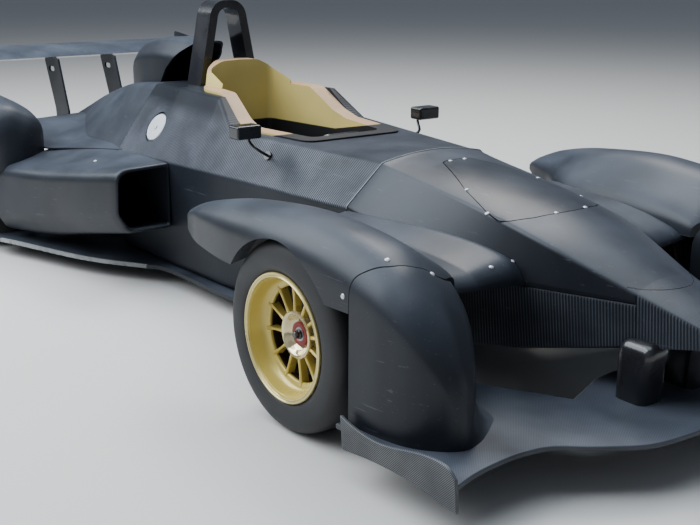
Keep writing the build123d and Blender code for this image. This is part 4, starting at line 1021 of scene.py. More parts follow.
bridge_rows = [(row[0], bridge_chain(row)) for row in smooth_rows(BRIDGE_SECTIONS, FENDER_STEP)]
bridge = loft("bridge_skin_left", bridge_rows, smooth_carbon, 40.0)
fit_to_car(bridge, "chassis", "bare_carbon", "bridge_left")
fit_to_car(mirrored_copy(bridge, "bridge_skin_right"), "chassis", "bare_carbon", "bridge_right")
print("bridge faces:", len(bridge.data.polygons))

# %% [markdown]
# Cockpit liner
#
# The liner is a wall around the driver with a hood behind the head. Seen from above it is a ring, and seen
# from the side its top climbs in a ramp. Each of these outlines is easy to draw, but the shape in between is
# not. So each is drawn flat, from a few corners with a radius each, and turned into a block.

# %% Outlines of the liner
LINER_INNER = [(-792, 0), (-792, 150), (-1060, 196), (-1505, 141), (-1505, 0)]
LINER_INNER_RADII = [38.0, 300.0, 26.0]
LINER_OUTER = [(-732.5, 0), (-732.5, 209), (-1060, 255), (-1347, 224.5)]
LINER_OUTER_RADII = [60.0, 400.0]
LINER_REAR_CENTRE = -1347.0
LINER_REAR_RADIUS = 224.5
LINER_SIDE = [
    (-960, 556), (-812, 605), (-700, 605), (-700, 648), (-1060, 655), (-1130, 678), (-1262, 757),
    (-1600, 762), (-1600, 556), (-960, 556),
]
LINER_SIDE_RADII = [5.0, 5.0, 5.0, 120.0, 120.0, 60.0, 5.0, 5.0]
HOOD_ARCH = [(168, 740), (158, 772), (140, 822), (84, 850), (0, 852)]
HOOD_ARCH_RADII = [30.0, 50.0, 90.0]
HOOD_STATIONS = (-1600, -1380)
HOOD_FOOT_Z = 500.0
REAR_TURN_STEPS = 20


def side_prism(name, outline, low_y, high_y):
    """A block with an upright outline of (station, z) points, from one side to another."""
    rings = [[at_station(station, y, z) for station, z in outline] for y in (low_y, high_y)]
    return skin(name, rings, smooth_carbon)


def arch_prism(name, half, rear, front):
    """A block with an arched outline of (y, z) points, from one station to another."""
    foot_y = half[0][0]
    feet = [Vector((-foot_y, HOOD_FOOT_Z)), Vector((foot_y, HOOD_FOOT_Z))]
    outline = half + mirrored_section(half[:-1]) + feet
    return loft(name, [(rear, outline), (front, outline)], aramid)


def rear_turn():
    """The round at the liner's rear, from its left side to the middle."""
    points = []
    for part in range(1, REAR_TURN_STEPS):
        angle = math.pi / 2 * (1 - part / REAR_TURN_STEPS)
        along, aside = LINER_REAR_RADIUS * math.cos(angle), LINER_REAR_RADIUS * math.sin(angle)
        points.append(Vector((LINER_REAR_CENTRE - along, aside)))
    return points + [Vector((LINER_REAR_CENTRE - LINER_REAR_RADIUS, 0))]


inner_half = roll_corners(LINER_INNER, LINER_INNER_RADII, 8)
outer_half = roll_corners(LINER_OUTER, LINER_OUTER_RADII, 8) + rear_turn()
print("points around half the liner:", len(inner_half), "inside and", len(outer_half), "outside")

# %% [markdown]
# The liner cut from its ring
#
# What is left where two blocks overlap has the outlines of both. The ring is cut once with the side view and
# once with the arch of the hood, and the two are joined. The same shape could be built face by face, but then
# a change to one outline would mean building it again. A small bevel rounds the rim, which catches the light.

# %% Cut the liner from its ring
RING_LEVELS = (557.0, 900.0)
HOLE_LEVELS = (500.0, 950.0)
WHOLE_WIDTH = (-300.0, 300.0)


def make_ring(name, tool):
    """The liner's ring, cut to the shape of a tool."""
    ring = prism(name, outer_half + mirrored_outline(outer_half[1:-1]), *RING_LEVELS)
    carve(ring, prism("liner_hole", inner_half + mirrored_outline(inner_half[1:-1]), *HOLE_LEVELS))
    carve(ring, tool, "INTERSECT")
    return ring


def soften(piece, width, segments=2, angle=40.0):
    """Rounds a piece's sharp edges a little, so that they catch the light."""
    bevel = piece.modifiers.new("soft_edges", "BEVEL")
    bevel.width = width / 1000
    bevel.segments = segments
    bevel.limit_method = "ANGLE"
    bevel.angle_limit = math.radians(angle)


side_outline = roll_corners(LINER_SIDE, LINER_SIDE_RADII, 8)[:-1]
liner = make_ring("cockpit_liner", side_prism("liner_side", side_outline, *WHOLE_WIDTH))
hood_outline = roll_corners(HOOD_ARCH, HOOD_ARCH_RADII, 8)
hood = make_ring("liner_hood", arch_prism("hood_arch", hood_outline, *HOOD_STATIONS))
carve(liner, hood, "UNION")
dress(liner, aramid)
soften(liner, 6.0, 3, 50.0)
fit_to_car(liner, "chassis", "aramid_liner", "cockpit_surround")
print("liner faces:", len(liner.data.polygons))

# %% [markdown]
# Engine cover and deck
#
# The cover falls away behind the driver, from a broad waist to a narrow tail. A thin deck fills in between it
# and the rear fenders, over the suspension. Both are lofts. The deck is only a few millimetres thick, so its
# underside is the same chain again, a little lower.

# %% Engine cover
COVER_SECTIONS = [
    # station, crest half width and height, waist half width and height, hem half width and height
    (-1831, 205, 738, 398, 478, 398, 380),
    (REAR_AXLE_STATION + 430, 160, 708, 372, 482, 368, 380),
    (REAR_AXLE_STATION + 60, 105, 625, 300, 440, 296, 360),
    (REAR_AXLE_STATION - 240, 70, 535, 200, 380, 200, 340),
    (REAR_AXLE_STATION - 420, 50, 478, 128, 366, 128, 330),
]
COVER_RADII = [30.0, 70.0]
CREST_RISE = 4.0
PANEL_STEP = 20.0


def both_sides(half):
    """A whole section from its left half, which starts at the bottom."""
    return half + mirrored_section(half)


def cover_chain(row):
    """The section of the engine cover."""
    station, crest_half, crest_z, waist_half, waist_z, hem_half, hem_z = row
    top = (0, crest_z + CREST_RISE)
    corners = [(hem_half, hem_z), (waist_half, waist_z), (crest_half, crest_z), top]
    return both_sides(roll_corners(corners, COVER_RADII, 8)[:-1])


cover_rows = [(row[0], cover_chain(row)) for row in smooth_rows(COVER_SECTIONS, PANEL_STEP)]
cover = loft("engine_cover_skin", cover_rows, smooth_carbon)
fit_to_car(cover, "chassis", "bare_carbon", "engine_cover")
print("cover faces:", len(cover.data.polygons))

# %% Deck
DECK_SECTIONS = [
    # station, inner y and height, middle y and height, outer y and height
    (-1800, 388, 488, 396, 488, 408, 489),
    (REAR_AXLE_STATION + 610, 355, 506, 392, 486, 436, 474),
    (REAR_AXLE_STATION + 430, 312, 508, 392, 476, 496, 456),
    (REAR_AXLE_STATION + 320, 280, 508, 400, 468, 540, 447),
    (REAR_AXLE_STATION + 200, 248, 508, 400, 470, 528, 456),
    (REAR_AXLE_STATION, 186, 507, 380, 486, 524, 486),
    (REAR_AXLE_STATION - 200, 118, 500, 350, 484, 524, 492),
    (REAR_AXLE_STATION - 330, 74, 484, 330, 472, 530, 482),
]
DECK_RADIUS = 200.0
DECK_THICKNESS = 6.0


def deck_chain(row):
    """The section of the left deck panel, over its top and back underneath."""
    station, inner, inner_z, middle, middle_z, outer, outer_z = row
    top = roll_corners([(inner, inner_z), (middle, middle_z), (outer, outer_z)], [DECK_RADIUS], 10)
    return top + [point - Vector((0, DECK_THICKNESS)) for point in reversed(top)]


deck_rows = [(row[0], deck_chain(row)) for row in smooth_rows(DECK_SECTIONS, PANEL_STEP)]
deck = loft("deck_left", deck_rows, smooth_carbon)
fit_to_car(deck, "chassis", "bare_carbon")
fit_to_car(mirrored_copy(deck, "deck_right"), "chassis", "bare_carbon")
print("deck faces:", len(deck.data.polygons))

# %% [markdown]
# Air box
#
# The air box is a hollow dome with a raked mouth. It could be an open sheet with a thickness modifier, but
# its wall could fold over in the tight corners of the tail. Here a slightly smaller shape is cut out of the
# outer skin, and a block with a slanting outline trims the mouth.

# %% Air box
AIRBOX_SECTIONS = [
    # station, half width, top height, foot height
    (-1700, 106, 906, 650),
    (-1940, 122, 914, 640),
    (-2130, 112, 892, 630),
    (-2260, 88, 846, 606),
    (-2330, 62, 790, 592),
    (-2350, 46, 764, 590),
]
AIRBOX_MOUTH = [
    (-2030, 600), (-1957, 725), (-1907, 789), (-1815, 863), (-1728, 914), (-1690, 960), (-1600, 960),
    (-1600, 600),
]
AIRBOX_WALL = 9.0


def airbox_chain(row, wall=0.0):
    """The arch of the air box, or the same drawn in by its wall."""
    station, half, top_z, foot_z = row
    side = half - wall
    corners = [(side, foot_z), (side, top_z - 0.6 * half), (0.62 * half, top_z - wall), (0, top_z - wall)]
    return both_sides(roll_corners(corners, [0.55 * half, 0.5 * half], 8)[:-1])


airbox_rows = smooth_rows(AIRBOX_SECTIONS, FENDER_STEP)
airbox = loft("airbox_skin", [(row[0], airbox_chain(row)) for row in airbox_rows], smooth_carbon)
hollow_rows = [row for row in airbox_rows if row[0] > AIRBOX_SECTIONS[-2][0]]
hollow_chains = [(row[0], airbox_chain(row, AIRBOX_WALL)) for row in hollow_rows]
carve(airbox, loft("airbox_hollow", hollow_chains, smooth_carbon))
carve(airbox, side_prism("airbox_mouth", AIRBOX_MOUTH, *WHOLE_WIDTH))
fit_to_car(airbox, "chassis", "bare_carbon", "airbox")
print("air box faces:", len(airbox.data.polygons))

# %% [markdown]
# Sidepods
#
# A sidepod is a long box with soft edges and an intake at its front. A bevel would round the intake's edge
# too, but it would do so all round, also where the edge lies along the body. Here the lip is made by drawing
# the first few sections in, on the outside and on the inside, and least along the body.

# %% Sections of the sidepods
SIDEPOD_SECTIONS = [
    # station, outer side, roof height, shoulder height, belly height, foot half width
    (-1400, 618, 492, 486, 238, 575),
    (-1650, 662, 494, 444, 192, 612),
    (REAR_AXLE_STATION + 610, 708, 482, 404, 136, 660),
    (REAR_AXLE_STATION + 400, 750, 468, 392, 116, 706),
    (REAR_AXLE_STATION + 310, 772, 460, 388, 112, 726),
]
SIDEPOD_INNER_Y = 392.0
SIDEPOD_RADII = [12.0, 56.0, 60.0, 40.0, 12.0]
LIP_STEPS = [
    # distance behind the front edge, how far the outside and the inside are drawn in there
    (0.0, 7.0, 7.5), (2.0, 3.6, 11.0), (5.0, 1.5, 13.5), (10.0, 0.0, 16.0),
]
DUCT_LENGTH = 418.0
DUCT_LEAD = 1.0
SHOULDER_STEP = 6.0
SILL_HEIGHT = 76.0


def sidepod_chain(row, inset=0.0):
    """The left section of a sidepod, or the same drawn in, which is least along the body."""
    station, outer, roof, shoulder, belly, foot = row
    inner = SIDEPOD_INNER_Y + inset / 4
    middle = (inner, (roof + belly) / 2)
    corners = [
        middle, (inner, roof - inset), (outer - SHOULDER_STEP - inset, shoulder - inset),
        (outer - inset, belly + SILL_HEIGHT), (foot - inset, belly + inset), (inner, belly + inset), middle,
    ]
    return roll_corners(corners, SIDEPOD_RADII, 9)[:-1]


print("points around a sidepod:", len(sidepod_chain(SIDEPOD_SECTIONS[0])))

# %% Sidepods and their ducts
def sidepod_rows(inside):
    """Rows of a sidepod's outside or of its duct, with the rounded lip."""
    rows = smooth_rows(SIDEPOD_SECTIONS, PANEL_STEP)
    front = rows[0]
    lipped = []
    for behind, outside_inset, inside_inset in LIP_STEPS:
        lipped.append((front[0] - behind, sidepod_chain(front, inside_inset if inside else outside_inset)))
    rest = [row for row in rows if row[0] < front[0] - LIP_STEPS[-1][0] - 1]
    if inside:
        rest = [row for row in rest if row[0] > front[0] - DUCT_LENGTH]
    return lipped + [(row[0], sidepod_chain(row, LIP_STEPS[-1][2] if inside else 0.0)) for row in rest]


sidepod = loft("sidepod_skin_left", sidepod_rows(inside=False), smooth_carbon)
(mouth_station, mouth_chain), *duct_rows = sidepod_rows(inside=True)
open_mouth = (mouth_station + DUCT_LEAD, mouth_chain)
carve(sidepod, loft("sidepod_duct", [open_mouth, *duct_rows], smooth_carbon))
fit_to_car(sidepod, "chassis", "bare_carbon", "sidepod_left")
fit_to_car(mirrored_copy(sidepod, "sidepod_skin_right"), "chassis", "bare_carbon", "sidepod_right")
print("sidepod faces:", len(sidepod.data.polygons))

# %% [markdown]
# Floor
#
# The floor's edge is hidden by the body at the front and bows out ahead of the rear wheels. It is one flat
# board, so an outline is enough, drawn as a smooth curve through a few points. Its cut edge is frayed: the
# cloth there is pale and ragged. Loose threads would be too fine to see, so a narrow strip with an uneven
# outline stands for them.

# %% Floor of the car
FLOOR_SIDE = [
    (-330, 340), (-940, 402), (-1380, 408), (-1500, 450), (-1620, 528), (-1740, 592), (-1880, 645),
    (-2030, 692), (-2160, 734), (REAR_AXLE_STATION + 322, 764),
]
FLOOR_TAIL = [(REAR_AXLE_STATION + 230, 772), (REAR_AXLE_STATION + 230, 500), (REAR_AXLE_STATION + 24, 500)]
FLOOR_LEVELS = (60.0, 75.0)
FRAY_LEVELS = (61.0, 77.0)
FRAY_FIRST = 3
FRAY_STEPS = 14
FRAY_WIDTH = 4.0
FRAY_ROOT = 5.0
FRAY_WAVES = [(1.5, 1.9), (1.1, 4.7), (0.8, 7.3)]


def flowing(points, steps=6):
    """A smooth curve through points."""
    whole = [Vector(point) for point in points]
    padded = [2 * whole[0] - whole[1], *whole, 2 * whole[-1] - whole[-2]]
    curve = []
    for a, b, c, d in zip(padded, padded[1:], padded[2:], padded[3:]):
        for part in range(steps):
            t = part / steps
            curve.append(0.5 * (2 * b + (c - a) * t + (2 * a - 5 * b + 4 * c - d) * t ** 2
                                + (3 * b - a - 3 * c + d) * t ** 3))
    return curve + [whole[-1]]


floor_half = flowing(FLOOR_SIDE, 5) + [Vector(point) for point in FLOOR_TAIL]
car_floor = prism("floor_skin", floor_half + mirrored_outline(floor_half), *FLOOR_LEVELS)
fit_to_car(car_floor, "chassis", "bare_carbon", "floor")
frayed = flowing(FLOOR_SIDE[FRAY_FIRST:], FRAY_STEPS)
ragged = []
for index, point in enumerate(frayed):
    bite = sum(depth * math.sin(index * pace) for depth, pace in FRAY_WAVES)
    ragged.append(point + Vector((0.0, FRAY_WIDTH + bite)))
rooted = [point - Vector((0, FRAY_ROOT)) for point in reversed(frayed)]
fray = prism("floor_fray_left", rooted + ragged, *FRAY_LEVELS)
dress(fray, frayed_cloth)
fit_to_car(fray, "chassis", "bare_carbon")
fit_to_car(mirrored_copy(fray, "floor_fray_right"), "chassis", "bare_carbon")
print("floor points:", len(floor_half), "frayed points:", len(ragged))

# %% [markdown]
# Splitter and end plates
#
# The splitter is a flat board whose front edge flows in one curve, and the end plates are thin boards of
# twill cloth with a wavy upper edge. Boards like these are cut along a curve in the workshop, and the same is
# done here: an outline drawn through a few points, raised to the board's thickness.

# %% Splitter and end plates
SPLITTER_FRONT = [
    # station and distance from the middle, along the front edge to the end plate
    (876, 0), (872, 148), (855, 300), (790, 415), (722, 505), (704, 575), (702, 650), (716, 757), (745, 850),
]
SPLITTER_REAR = [(300, 850), (300, 380), (392, 330), (545, 245), (480, 85), (470, 0)]
SPLITTER_LEVELS = (126.0, 140.0)
END_PLATE_TOP = [
    (326, 172), (363, 161), (420, 153), (475, 152), (530, 160), (586, 173), (640, 184), (690, 188),
    (728, 182), (752, 163),
]
END_PLATE_BOTTOM = [(760, 84), (694, 88), (624, 96), (551, 100), (445, 95), (335, 82)]
END_PLATE_Y = (846.0, 856.0)

splitter_half = flowing(SPLITTER_FRONT) + [Vector(point) for point in SPLITTER_REAR]
splitter_outline = splitter_half + mirrored_outline(splitter_half[1:-1])
splitter = prism("splitter_skin", splitter_outline, *SPLITTER_LEVELS)
dress(splitter, splitter_carbon)
soften(splitter, 3.0)
fit_to_car(splitter, "chassis", "bare_carbon", "splitter")
plate = side_prism("end_plate_left", flowing(END_PLATE_TOP) + flowing(END_PLATE_BOTTOM), *END_PLATE_Y)
dress(plate, twill_carbon)
right_plate = mirrored_copy(plate, "end_plate_right")
soften(plate, 2.0)
soften(right_plate, 2.0)
fit_to_car(plate, "chassis", "bare_carbon", "end_plates")
fit_to_car(right_plate, "chassis", "bare_carbon")
print("splitter points:", len(splitter_outline))

# %% [markdown]
# Nose pylons
#
# Two upright blocks hold the nose above the splitter. They have soft corners, a front edge that leans forward
# near the top and a rounded crown. A cube with a bevel would have the corners but not the lean. So they are
# built like a stack of slices, each a rounded rectangle, and the last slices shrink to round the top.

# %% Nose pylons
PYLON_Y = (55.0, 147.0)
PYLON_STATIONS = (592.0, 694.0)
PYLON_CORNER = 28.0
PYLON_LEVELS = [
    # height, how far the front edge is moved, how far the outline is drawn in
    (140, 0, 0), (200, 0, 0), (240, 3, 0), (265, 10, 0), (284, 16, 3), (296, 19, 9), (304, 21, 18),
    (308, 22, 30),
]


def pylon_slice(z, lean, inset):
    """The level outline of the left nose pylon at a height, with soft corners."""
    rear, front = PYLON_STATIONS[0] + inset, PYLON_STATIONS[1] + lean - inset
    inner, outer = PYLON_Y[0] + inset, PYLON_Y[1] - inset
    start = ((rear + front) / 2, inner)
    corners = [start, (front, inner), (front, outer), (rear, outer), (rear, inner), start]
    outline = roll_corners(corners, [max(PYLON_CORNER - 0.4 * inset, 6.0)] * 4, 6)[:-1]
    return [at_station(station, y, z) for station, y in outline]


pylon = skin("nose_pylon_left", [pylon_slice(*level) for level in PYLON_LEVELS], black_paint)
fit_to_car(pylon, "chassis", "bare_carbon", "nose_pylons")
fit_to_car(mirrored_copy(pylon, "nose_pylon_right"), "chassis", "bare_carbon")
print("pylon faces:", len(pylon.data.polygons))

# %% [markdown]
# Screws
#
# Screws with pale round heads hold the hatch, the pods and the sidepods. A screw that floats or sinks spoils
# the look at once, so its place is found with a ray, sent back along the way the panel faces until it meets
# the skin. The head is a low dome, turned to stand square on that way.

# %% Screws
SCREWS = [
    # station, y, height, which way the panel faces
    (-206, 30, 648, (0, 0, 1)), (2, 150, 600, (0, 0.15, 1)), (140, 197, 563, (0, 0.4, 1)),
    (280, 60, 577, (0.2, 0, 1)), (368, 745, 566, (0.4, 0.2, 1)), (424, 640, 545, (0.5, 0, 1)),
    (300, 829, 470, (0, 1, 0.1)), (-1754, 531, 462, (0, 0.2, 1)), (270, 300, 446, (0.3, 0, 1)),
    (262, 210, 452, (0.2, 0, 1)),
]
SCREW_DOME = [(7.0, -3.0), (7.0, 0.6), (6.0, 1.8), (3.5, 2.6), (0.4, 2.8), (0.4, -3.0)]
RAY_LEAD, RAY_LENGTH = 0.12, 0.3


def turned(name, profile, spot, facing, finish, steps=24):
    """A small turned piece at a spot, its axis pointing the way it faces."""
    turn = Vector((0, 0, 1)).rotation_difference(Vector(facing).normalized()).to_matrix()
    vertices = []
    for radius, height in profile:
        for part in range(steps):
            angle = 2 * math.pi * part / steps
            point = Vector((radius * math.cos(angle), radius * math.sin(angle), height))
            vertices.append(spot + turn @ point / 1000)
    return add_piece(name, vertices, faces_between(len(profile), steps, closed=True), finish)


def meet_surface(pieces, spot, facing):
    """Where a ray sent back along the way a panel faces meets each of some pieces."""
    away = Vector(facing).normalized()
    hits = [piece.ray_cast(spot + away * RAY_LEAD, -away, distance=RAY_LENGTH) for piece in pieces]
    return [place for hit, place, normal, index in hits if hit]


screw_grounds = [hatch_skin, fairing_skin, front_fender, front_pod, sidepod, bridge]
for number, (station, y, z, facing) in enumerate(SCREWS):
    wanted = at_station(station, y, z)
    spot = min(meet_surface(screw_grounds, wanted, facing), key=lambda place: (place - wanted).length)
    screw = turned(f"screw_{number}_left", SCREW_DOME, spot, facing, silver_cap)
    fit_to_car(screw, "chassis", "filler_silver")
    fit_to_car(mirrored_copy(screw, f"screw_{number}_right"), "chassis", "filler_silver")
print("screws on each side:", len(SCREWS))

# %% [markdown]
# Seam lines
#
# A pale line runs over the body where the fairing ends, a painted highlight along its edge, and a dark joint
# bows over the nose where the cone begins. They could be cut as grooves, but grooves so fine would not show
# from a few steps away. A thin strip on the skin does, and it follows the skin because its points are taken
# from it.

# %% Seam lines
SEAM_HALF_WIDTH = 1.6
SEAM_WIDER, SEAM_HIGHER = 1.003, 1.6
SEAM_THICKNESS, JOINT_THICKNESS = 0.002, 0.0012
CONE_JOINT = [(594, 130), (612, 118), (642, 92), (667, 60), (682, 26), (685, 0)]
JOINT_HALF_WIDTH = 1.2
JOINT_LIFT = 0.0004
JOINT_SEARCH_Z = 460


def add_strip(name, edges, thickness, finish):
    """A thin strip between two edges with as many points each."""
    count = len(edges[0])
    faces = [(index, index + 1, count + index + 1, count + index) for index in range(count - 1)]
    strip = add_piece(name, edges[0] + edges[1], faces, finish)
    strip.modifiers.new("thickness", "SOLIDIFY").thickness = thickness
    fit_to_car(strip, "chassis", "bare_carbon")


seam_station, seam_chain = fairing_rows[0]
seam_edges = []
for shift in (-SEAM_HALF_WIDTH, SEAM_HALF_WIDTH):
    seam_edges.append([
        at_station(seam_station + shift, y * SEAM_WIDER, z + SEAM_HIGHER) for y, z in seam_chain[1:-1]
    ])
# The pale strip at the fairing's end is a painted highlight on its edge.
add_strip("fairing_edge_highlight", seam_edges, SEAM_THICKNESS, painted_edge_highlight)

joint_half = flowing(CONE_JOINT)
joint_curve = joint_half + mirrored_outline(joint_half[:-1])
joint_edges = [[], []]
for before, point, after in zip(joint_curve, joint_curve[1:], joint_curve[2:]):
    across = (after - before).orthogonal().normalized() * JOINT_HALF_WIDTH
    for edge, (station, y) in zip(joint_edges, (point + across, point - across)):
        places = meet_surface([fairing_skin, cone_skin], at_station(station, y, JOINT_SEARCH_Z), (0, 0, 1))
        edge.append(max(places, key=lambda place: place.z) + Vector((0, 0, JOINT_LIFT)))
add_strip("cone_joint_line", joint_edges, JOINT_THICKNESS, black_paint)
print("seam points:", len(seam_edges[0]), "joint points:", len(joint_edges[0]))

# %% [markdown]
# Wheels
#
# The wheels are deep: a bright lip, a wide barrel, a ledge where twelve thin spokes land, and a dished hub
# with a coloured nut at its bottom. A cylinder could be extruded and bevelled ring by ring. But everything
# except the spokes is round, so each part is turned from a profile, as on a lathe. Depths are measured
# inwards from the wheel's outer face, so one profile serves left and right.

# %% Profiles of the wheels
RIM_PROFILE = [
    # radius and depth, from the lip down the dish to the ledge
    (182, 6), (182, 3), (181, 0.8), (179, 0), (177, 0.4), (175.6, 2.2), (174, 3), (172.6, 2.2), (171, 1.2),
    (169.4, 1.6), (168, 4), (166, 12), (163, 26), (159, 40), (154.5, 48.5), (149, 52.6), (143, 54.4),
    (139, 55.5), (136, 58), (135, 64), (136, 74), (140, 80), (145, 86),
]
HUB_PROFILE = [
    # radius and depth, over the hub's rim and down into its dish
    (62, 76), (67, 62), (68, 54), (66.5, 50), (63, 48.4), (59, 49.6), (55, 54), (50, 62), (44, 70), (36, 74),
    (20, 76), (20, 84), (60, 84),
]
NUT_PROFILE = [(33, 78), (35, 76), (35, 66), (34, 64), (31, 63), (21, 63), (18, 66), (18, 78)]
NUT_CORE_PROFILE = [(0.5, 46), (8, 46), (10, 48), (10.5, 58), (14, 60), (14, 70), (0.5, 70)]
DISC_PROFILE = [(128, 100), (128, 122), (70, 122), (66, 90), (24, 90), (24, 84), (72, 84), (76, 100)]
TYRE_HALF_PROFILE = [
    # radius and depth, from the bead out over the sidewall to the tread
    (167, 8.4), (184, 8.4), (187, 5), (193, 2.2), (202, 0.6), (214, 0), (232, 0.4), (243, 2.2), (252, 6),
    (260, 12), (266, 20), (270, 31), (271.6, 44), (272, 60),
]
SIDEWALL_RADIUS = 214


def rim_back(width):
    """The profile of a rim's inner flange and of its barrel, back to the lip."""
    inner = width - 8
    return [
        (145, inner - 12), (152, inner - 4), (158, inner + 5), (161, inner + 7.5), (180, inner + 8),
        (182, inner + 6), (182, inner + 2), (180.5, inner), (168, inner), (166, inner - 2), (166, inner - 20),
        (154, inner - 32), (154, 96), (166, 84), (166, 10), (168, 8.2), (180.5, 8.2),
    ]


def tyre_profile(width, grow):
    """The whole profile of a tyre, whose tread lies further out by grow."""
    outside = []
    for radius, depth in TYRE_HALF_PROFILE:
        outside.append((radius + (grow if radius > SIDEWALL_RADIUS else 0), depth))
    return outside + [(radius, width - depth) for radius, depth in reversed(outside)]


print("points around a tyre:", len(tyre_profile(200.0, 0.0)))

# %% [markdown]
# Spokes
#
# A spoke is thin in the middle and widens towards the hub and the rim. A bar with one section would look like
# a toy, so each spoke has six sections along its length, each a flat six-sided shape with a narrower face.
# The spokes could be one spoke copied twelve times, but they never move apart, so all twelve are one piece.

# %% Spokes
SPOKE_COUNT = 12
SPOKE_RINGS = [
    # radius, half width, front depth, back depth
    (58, 7.5, 53, 74), (72, 5.0, 53.5, 76), (95, 3.8, 54.5, 78), (118, 4.0, 54.5, 80), (132, 5.5, 53.5, 80),
    (147, 8.5, 52.5, 78),
]
SPOKE_CORNERS = 6
SPOKE_FACE_SHARE = 0.45
SPOKE_EDGE_DEPTH = 3
SPOKE_TURN = 0.25


def spoke_points(angle, sign, outer_y):
    """The corner points of one spoke, six around each of its rings."""
    along = Vector((math.cos(angle), 0, math.sin(angle)))
    across = Vector((-math.sin(angle), 0, math.cos(angle)))
    points = []
    face = SPOKE_FACE_SHARE
    for radius, half, front, back in SPOKE_RINGS:
        edge = front + SPOKE_EDGE_DEPTH
        for side, depth in ((face, front), (1, edge), (1, back), (-1, back), (-1, edge), (-face, front)):
            place = along * radius + across * half * side + Vector((0, sign * (outer_y - depth), 0))
            points.append(place / 1000)
    return points


def make_spokes(name, axle, sign, outer_y):
    """All the spokes of a wheel as one piece."""
    rings = len(SPOKE_RINGS)
    spoke_faces = end_caps(rings, SPOKE_CORNERS) + faces_between(rings, SPOKE_CORNERS)
    vertices = []
    faces = []
    for turn in range(SPOKE_COUNT):
        base = len(vertices)
        angle = 2 * math.pi * (turn + SPOKE_TURN) / SPOKE_COUNT
        vertices += [axle + point for point in spoke_points(angle, sign, outer_y)]
        faces += [tuple(base + corner for corner in face) for face in spoke_faces]
    return add_piece(name, vertices, faces, brass_paint, 30.0)


print("corner points of a spoke:", len(spoke_points(0.0, 1, 0.0)))

# %% [markdown]
# The wheels put together
#
# Front and rear wheels share every profile and differ in their width and in the tyre's height, so one
# function makes all four. The lip is worn bright, and the barrel is painted a dark brown for the shade deep
# inside the wheel. Each could be a piece of its own, but the depth of a face already tells whether it belongs
# to the lip or to the barrel.

# %% Sizes, wear and painted shade of the wheels
LIP_DEPTH = 6.0
BARREL_SHADE_DEPTH = 66.0
WHEELS = {
    # axle station, axle height, distance of the wheel's middle from the car's, width, how much the tyre grows
    "front": (0, FRONT_TYRE_RADIUS, 717.0, 200.0, 0.0),
    "rear": (REAR_AXLE_STATION, REAR_TYRE_RADIUS, 675.0, 250.0, 13.0),
}


def wear_and_shade_rim(rim, outer_y):
    """Gives a rim its worn bright lip and its barrel painted dark for shade."""
    rim.data.materials.append(worn_brass)
    rim.data.materials.append(painted_barrel_shade)
    # Faces deep in the barrel get the painted shade.
    for face in rim.data.polygons:
        depth = outer_y - abs(face.center.y) * 1000
        face.material_index = 1 if depth < LIP_DEPTH else 2 if depth > BARREL_SHADE_DEPTH else 0


print("kinds of wheel:", list(WHEELS))

# %% Make the wheels
def make_wheel(end, side):
    """Rim, tyre, hub, spokes, nut and brake disc of one wheel."""
    axle_station, axle_z, centre, width, grow = WHEELS[end]
    sign = 1 if side == "left" else -1
    outer_y = centre + width / 2
    axle = at_station(axle_station, 0, axle_z)

    def turned_part(part, profile, finish, steps, closed=True):
        """A round part of this wheel, from its profile of (radius, depth)."""
        with_y = [(radius, sign * (outer_y - depth)) for radius, depth in profile]
        return spin(f"{end}_{side}_{part}", with_y, axle, finish, steps, closed)

    rim = turned_part("rim_skin", RIM_PROFILE + rim_back(width), brass_paint, 128)
    wear_and_shade_rim(rim, outer_y)
    hub = turned_part("hub", HUB_PROFILE, bright_brass, 64)
    spokes = make_spokes(f"{end}_{side}_spokes", axle, sign, outer_y)
    nut = turned_part("nut", NUT_PROFILE, red_anodised, 48)
    core = turned_part("nut_core", NUT_CORE_PROFILE, black_paint, 32, closed=False)
    disc = turned_part("brake_disc", DISC_PROFILE, dark_steel, 64)
    tyre = turned_part("tyre_skin", tyre_profile(width, grow), slick_rubber, 128)
    body = f"{end}_wheel_{side}"
    fit_to_car(rim, body, "gold_rim", f"{end}_rim_{side}")
    fit_to_car(tyre, body, "tyre", f"{end}_tyre_{side}")
    for piece in (hub, spokes, nut):
        fit_to_car(piece, body, "gold_rim")
    for piece in (core, disc):
        fit_to_car(piece, body, "steel")
    print(body, "has", len(rim.data.polygons), "faces in its rim")


for side in ("left", "right"):
    for end in WHEELS:
        make_wheel(end, side)

# %% [markdown]
# Studio floor
#
# A car without a floor seems to float. A painted backdrop that curves up behind it is what a studio has, but
# a flat floor that reaches far enough does the same work and can be seen from every side. It is pale, so that
# the dark car stands out, and rough, so that it shows soft shadows and no reflection.

# %% Studio floor
FLOOR_REACH = 40.0

corners = [(-FLOOR_REACH, -FLOOR_REACH, 0), (FLOOR_REACH, -FLOOR_REACH, 0), (FLOOR_REACH, FLOOR_REACH, 0),
           (-FLOOR_REACH, FLOOR_REACH, 0)]
floor_mesh = bpy.data.meshes.new("studio_floor")
floor_mesh.from_pydata(corners, [], [(0, 1, 2, 3)])
studio_floor = put_in_scene("studio_floor", floor_mesh)
pale_floor = start_finish("pale_floor", (0.66, 0.64, 0.61), 0.85)[0]
dress(studio_floor, pale_floor)
print("studio floor laid,", 2 * FLOOR_REACH, "m across")

# %% [markdown]
# Lights
#
# What we see on a dark, glossy car is the reflection of the lights, so their size matters more than their
# strength. Small lamps would show as hard spots. Large soft panels are used instead: a wide cool one overhead
# and another behind the near side stand for the sky, a smaller warm one stands for the sun, and a weak one
# lifts the shadows in front.

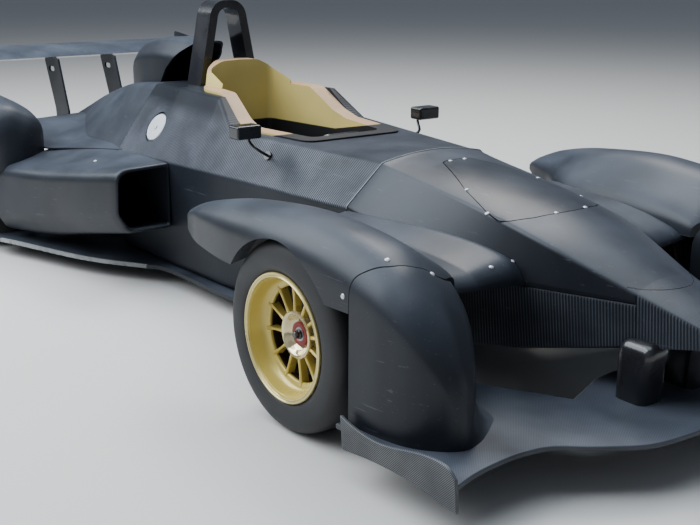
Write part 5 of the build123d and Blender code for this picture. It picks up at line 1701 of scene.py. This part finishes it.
# %% Lights
LIGHTS = [
    # name, place, target, width, depth, power, colour
    ("sky_panel", (-0.8, -0.6, 6.0), (0.0, 0.0, 0.4), 8.0, 6.0, 520, (0.80, 0.90, 1.0)),
    ("soft_sun", (-2.2, 3.4, 7.0), (0.0, 0.0, 0.4), 3.0, 3.0, 300, (1.0, 0.95, 0.88)),
    ("rear_near_sky", (-2.6, -4.2, 4.6), (0.8, -0.2, 0.5), 7.0, 4.5, 640, (0.88, 0.94, 1.0)),
    ("near_fill", (3.5, -5.5, 2.6), (0.3, 0.0, 0.4), 5.0, 3.0, 12, (1.0, 0.98, 0.96)),
]
SKY_COLOR = (0.60, 0.70, 0.86, 1.0)
SKY_STRENGTH = 0.22

for name, place, target, width, depth, power, color in LIGHTS:
    lamp = bpy.data.lights.new(name, "AREA")
    lamp.shape = "RECTANGLE"
    lamp.size = width
    lamp.size_y = depth
    lamp.energy = power
    lamp.color = color
    holder = put_in_scene(name, lamp)
    holder.location = place
    holder.rotation_mode = "QUATERNION"
    holder.rotation_quaternion = (Vector(target) - Vector(place)).to_track_quat("-Z", "Y")

surroundings = bpy.data.worlds.new("soft_sky")
surroundings.use_nodes = True
background = surroundings.node_tree.nodes["Background"]
background.inputs["Color"].default_value = SKY_COLOR
background.inputs["Strength"].default_value = SKY_STRENGTH
bpy.context.scene.world = surroundings
print("lights:", len(LIGHTS))

# %% [markdown]
# Camera
#
# The camera stands where the photographer stood, to the car's right and ahead of it, a little over a metre
# up. It could be aimed at the car with a constraint, but a photograph is seldom aimed at the very middle of
# what it shows. So the three angles are set directly: how far round the camera stands, how far it looks down
# and how level it was held.

# %% Camera
CAMERA_PLACE = Vector((3.636, -2.423, 1.304))
CAMERA_AZIMUTH = math.radians(52.9)
CAMERA_ELEVATION = math.radians(15.67)
CAMERA_ROLL = math.radians(0.38)
CAMERA_LENS = 58.63
CAMERA_SENSOR = 36.0

back = Vector((
    math.sin(CAMERA_AZIMUTH) * math.cos(CAMERA_ELEVATION),
    -math.cos(CAMERA_AZIMUTH) * math.cos(CAMERA_ELEVATION),
    math.sin(CAMERA_ELEVATION),
))
level_right = (-back).cross(Vector((0, 0, 1))).normalized()
level_up = level_right.cross(-back)
right = level_right * math.cos(CAMERA_ROLL) + level_up * math.sin(CAMERA_ROLL)
up = level_up * math.cos(CAMERA_ROLL) - level_right * math.sin(CAMERA_ROLL)
camera_data = bpy.data.cameras.new("photo_camera")
camera_data.lens = CAMERA_LENS
camera_data.sensor_width = CAMERA_SENSOR
camera = put_in_scene("photo_camera", camera_data)
camera.matrix_world = Matrix.Translation(CAMERA_PLACE) @ Matrix((right, up, back)).transposed().to_4x4()
bpy.context.scene.camera = camera
print("camera stands at", tuple(CAMERA_PLACE))
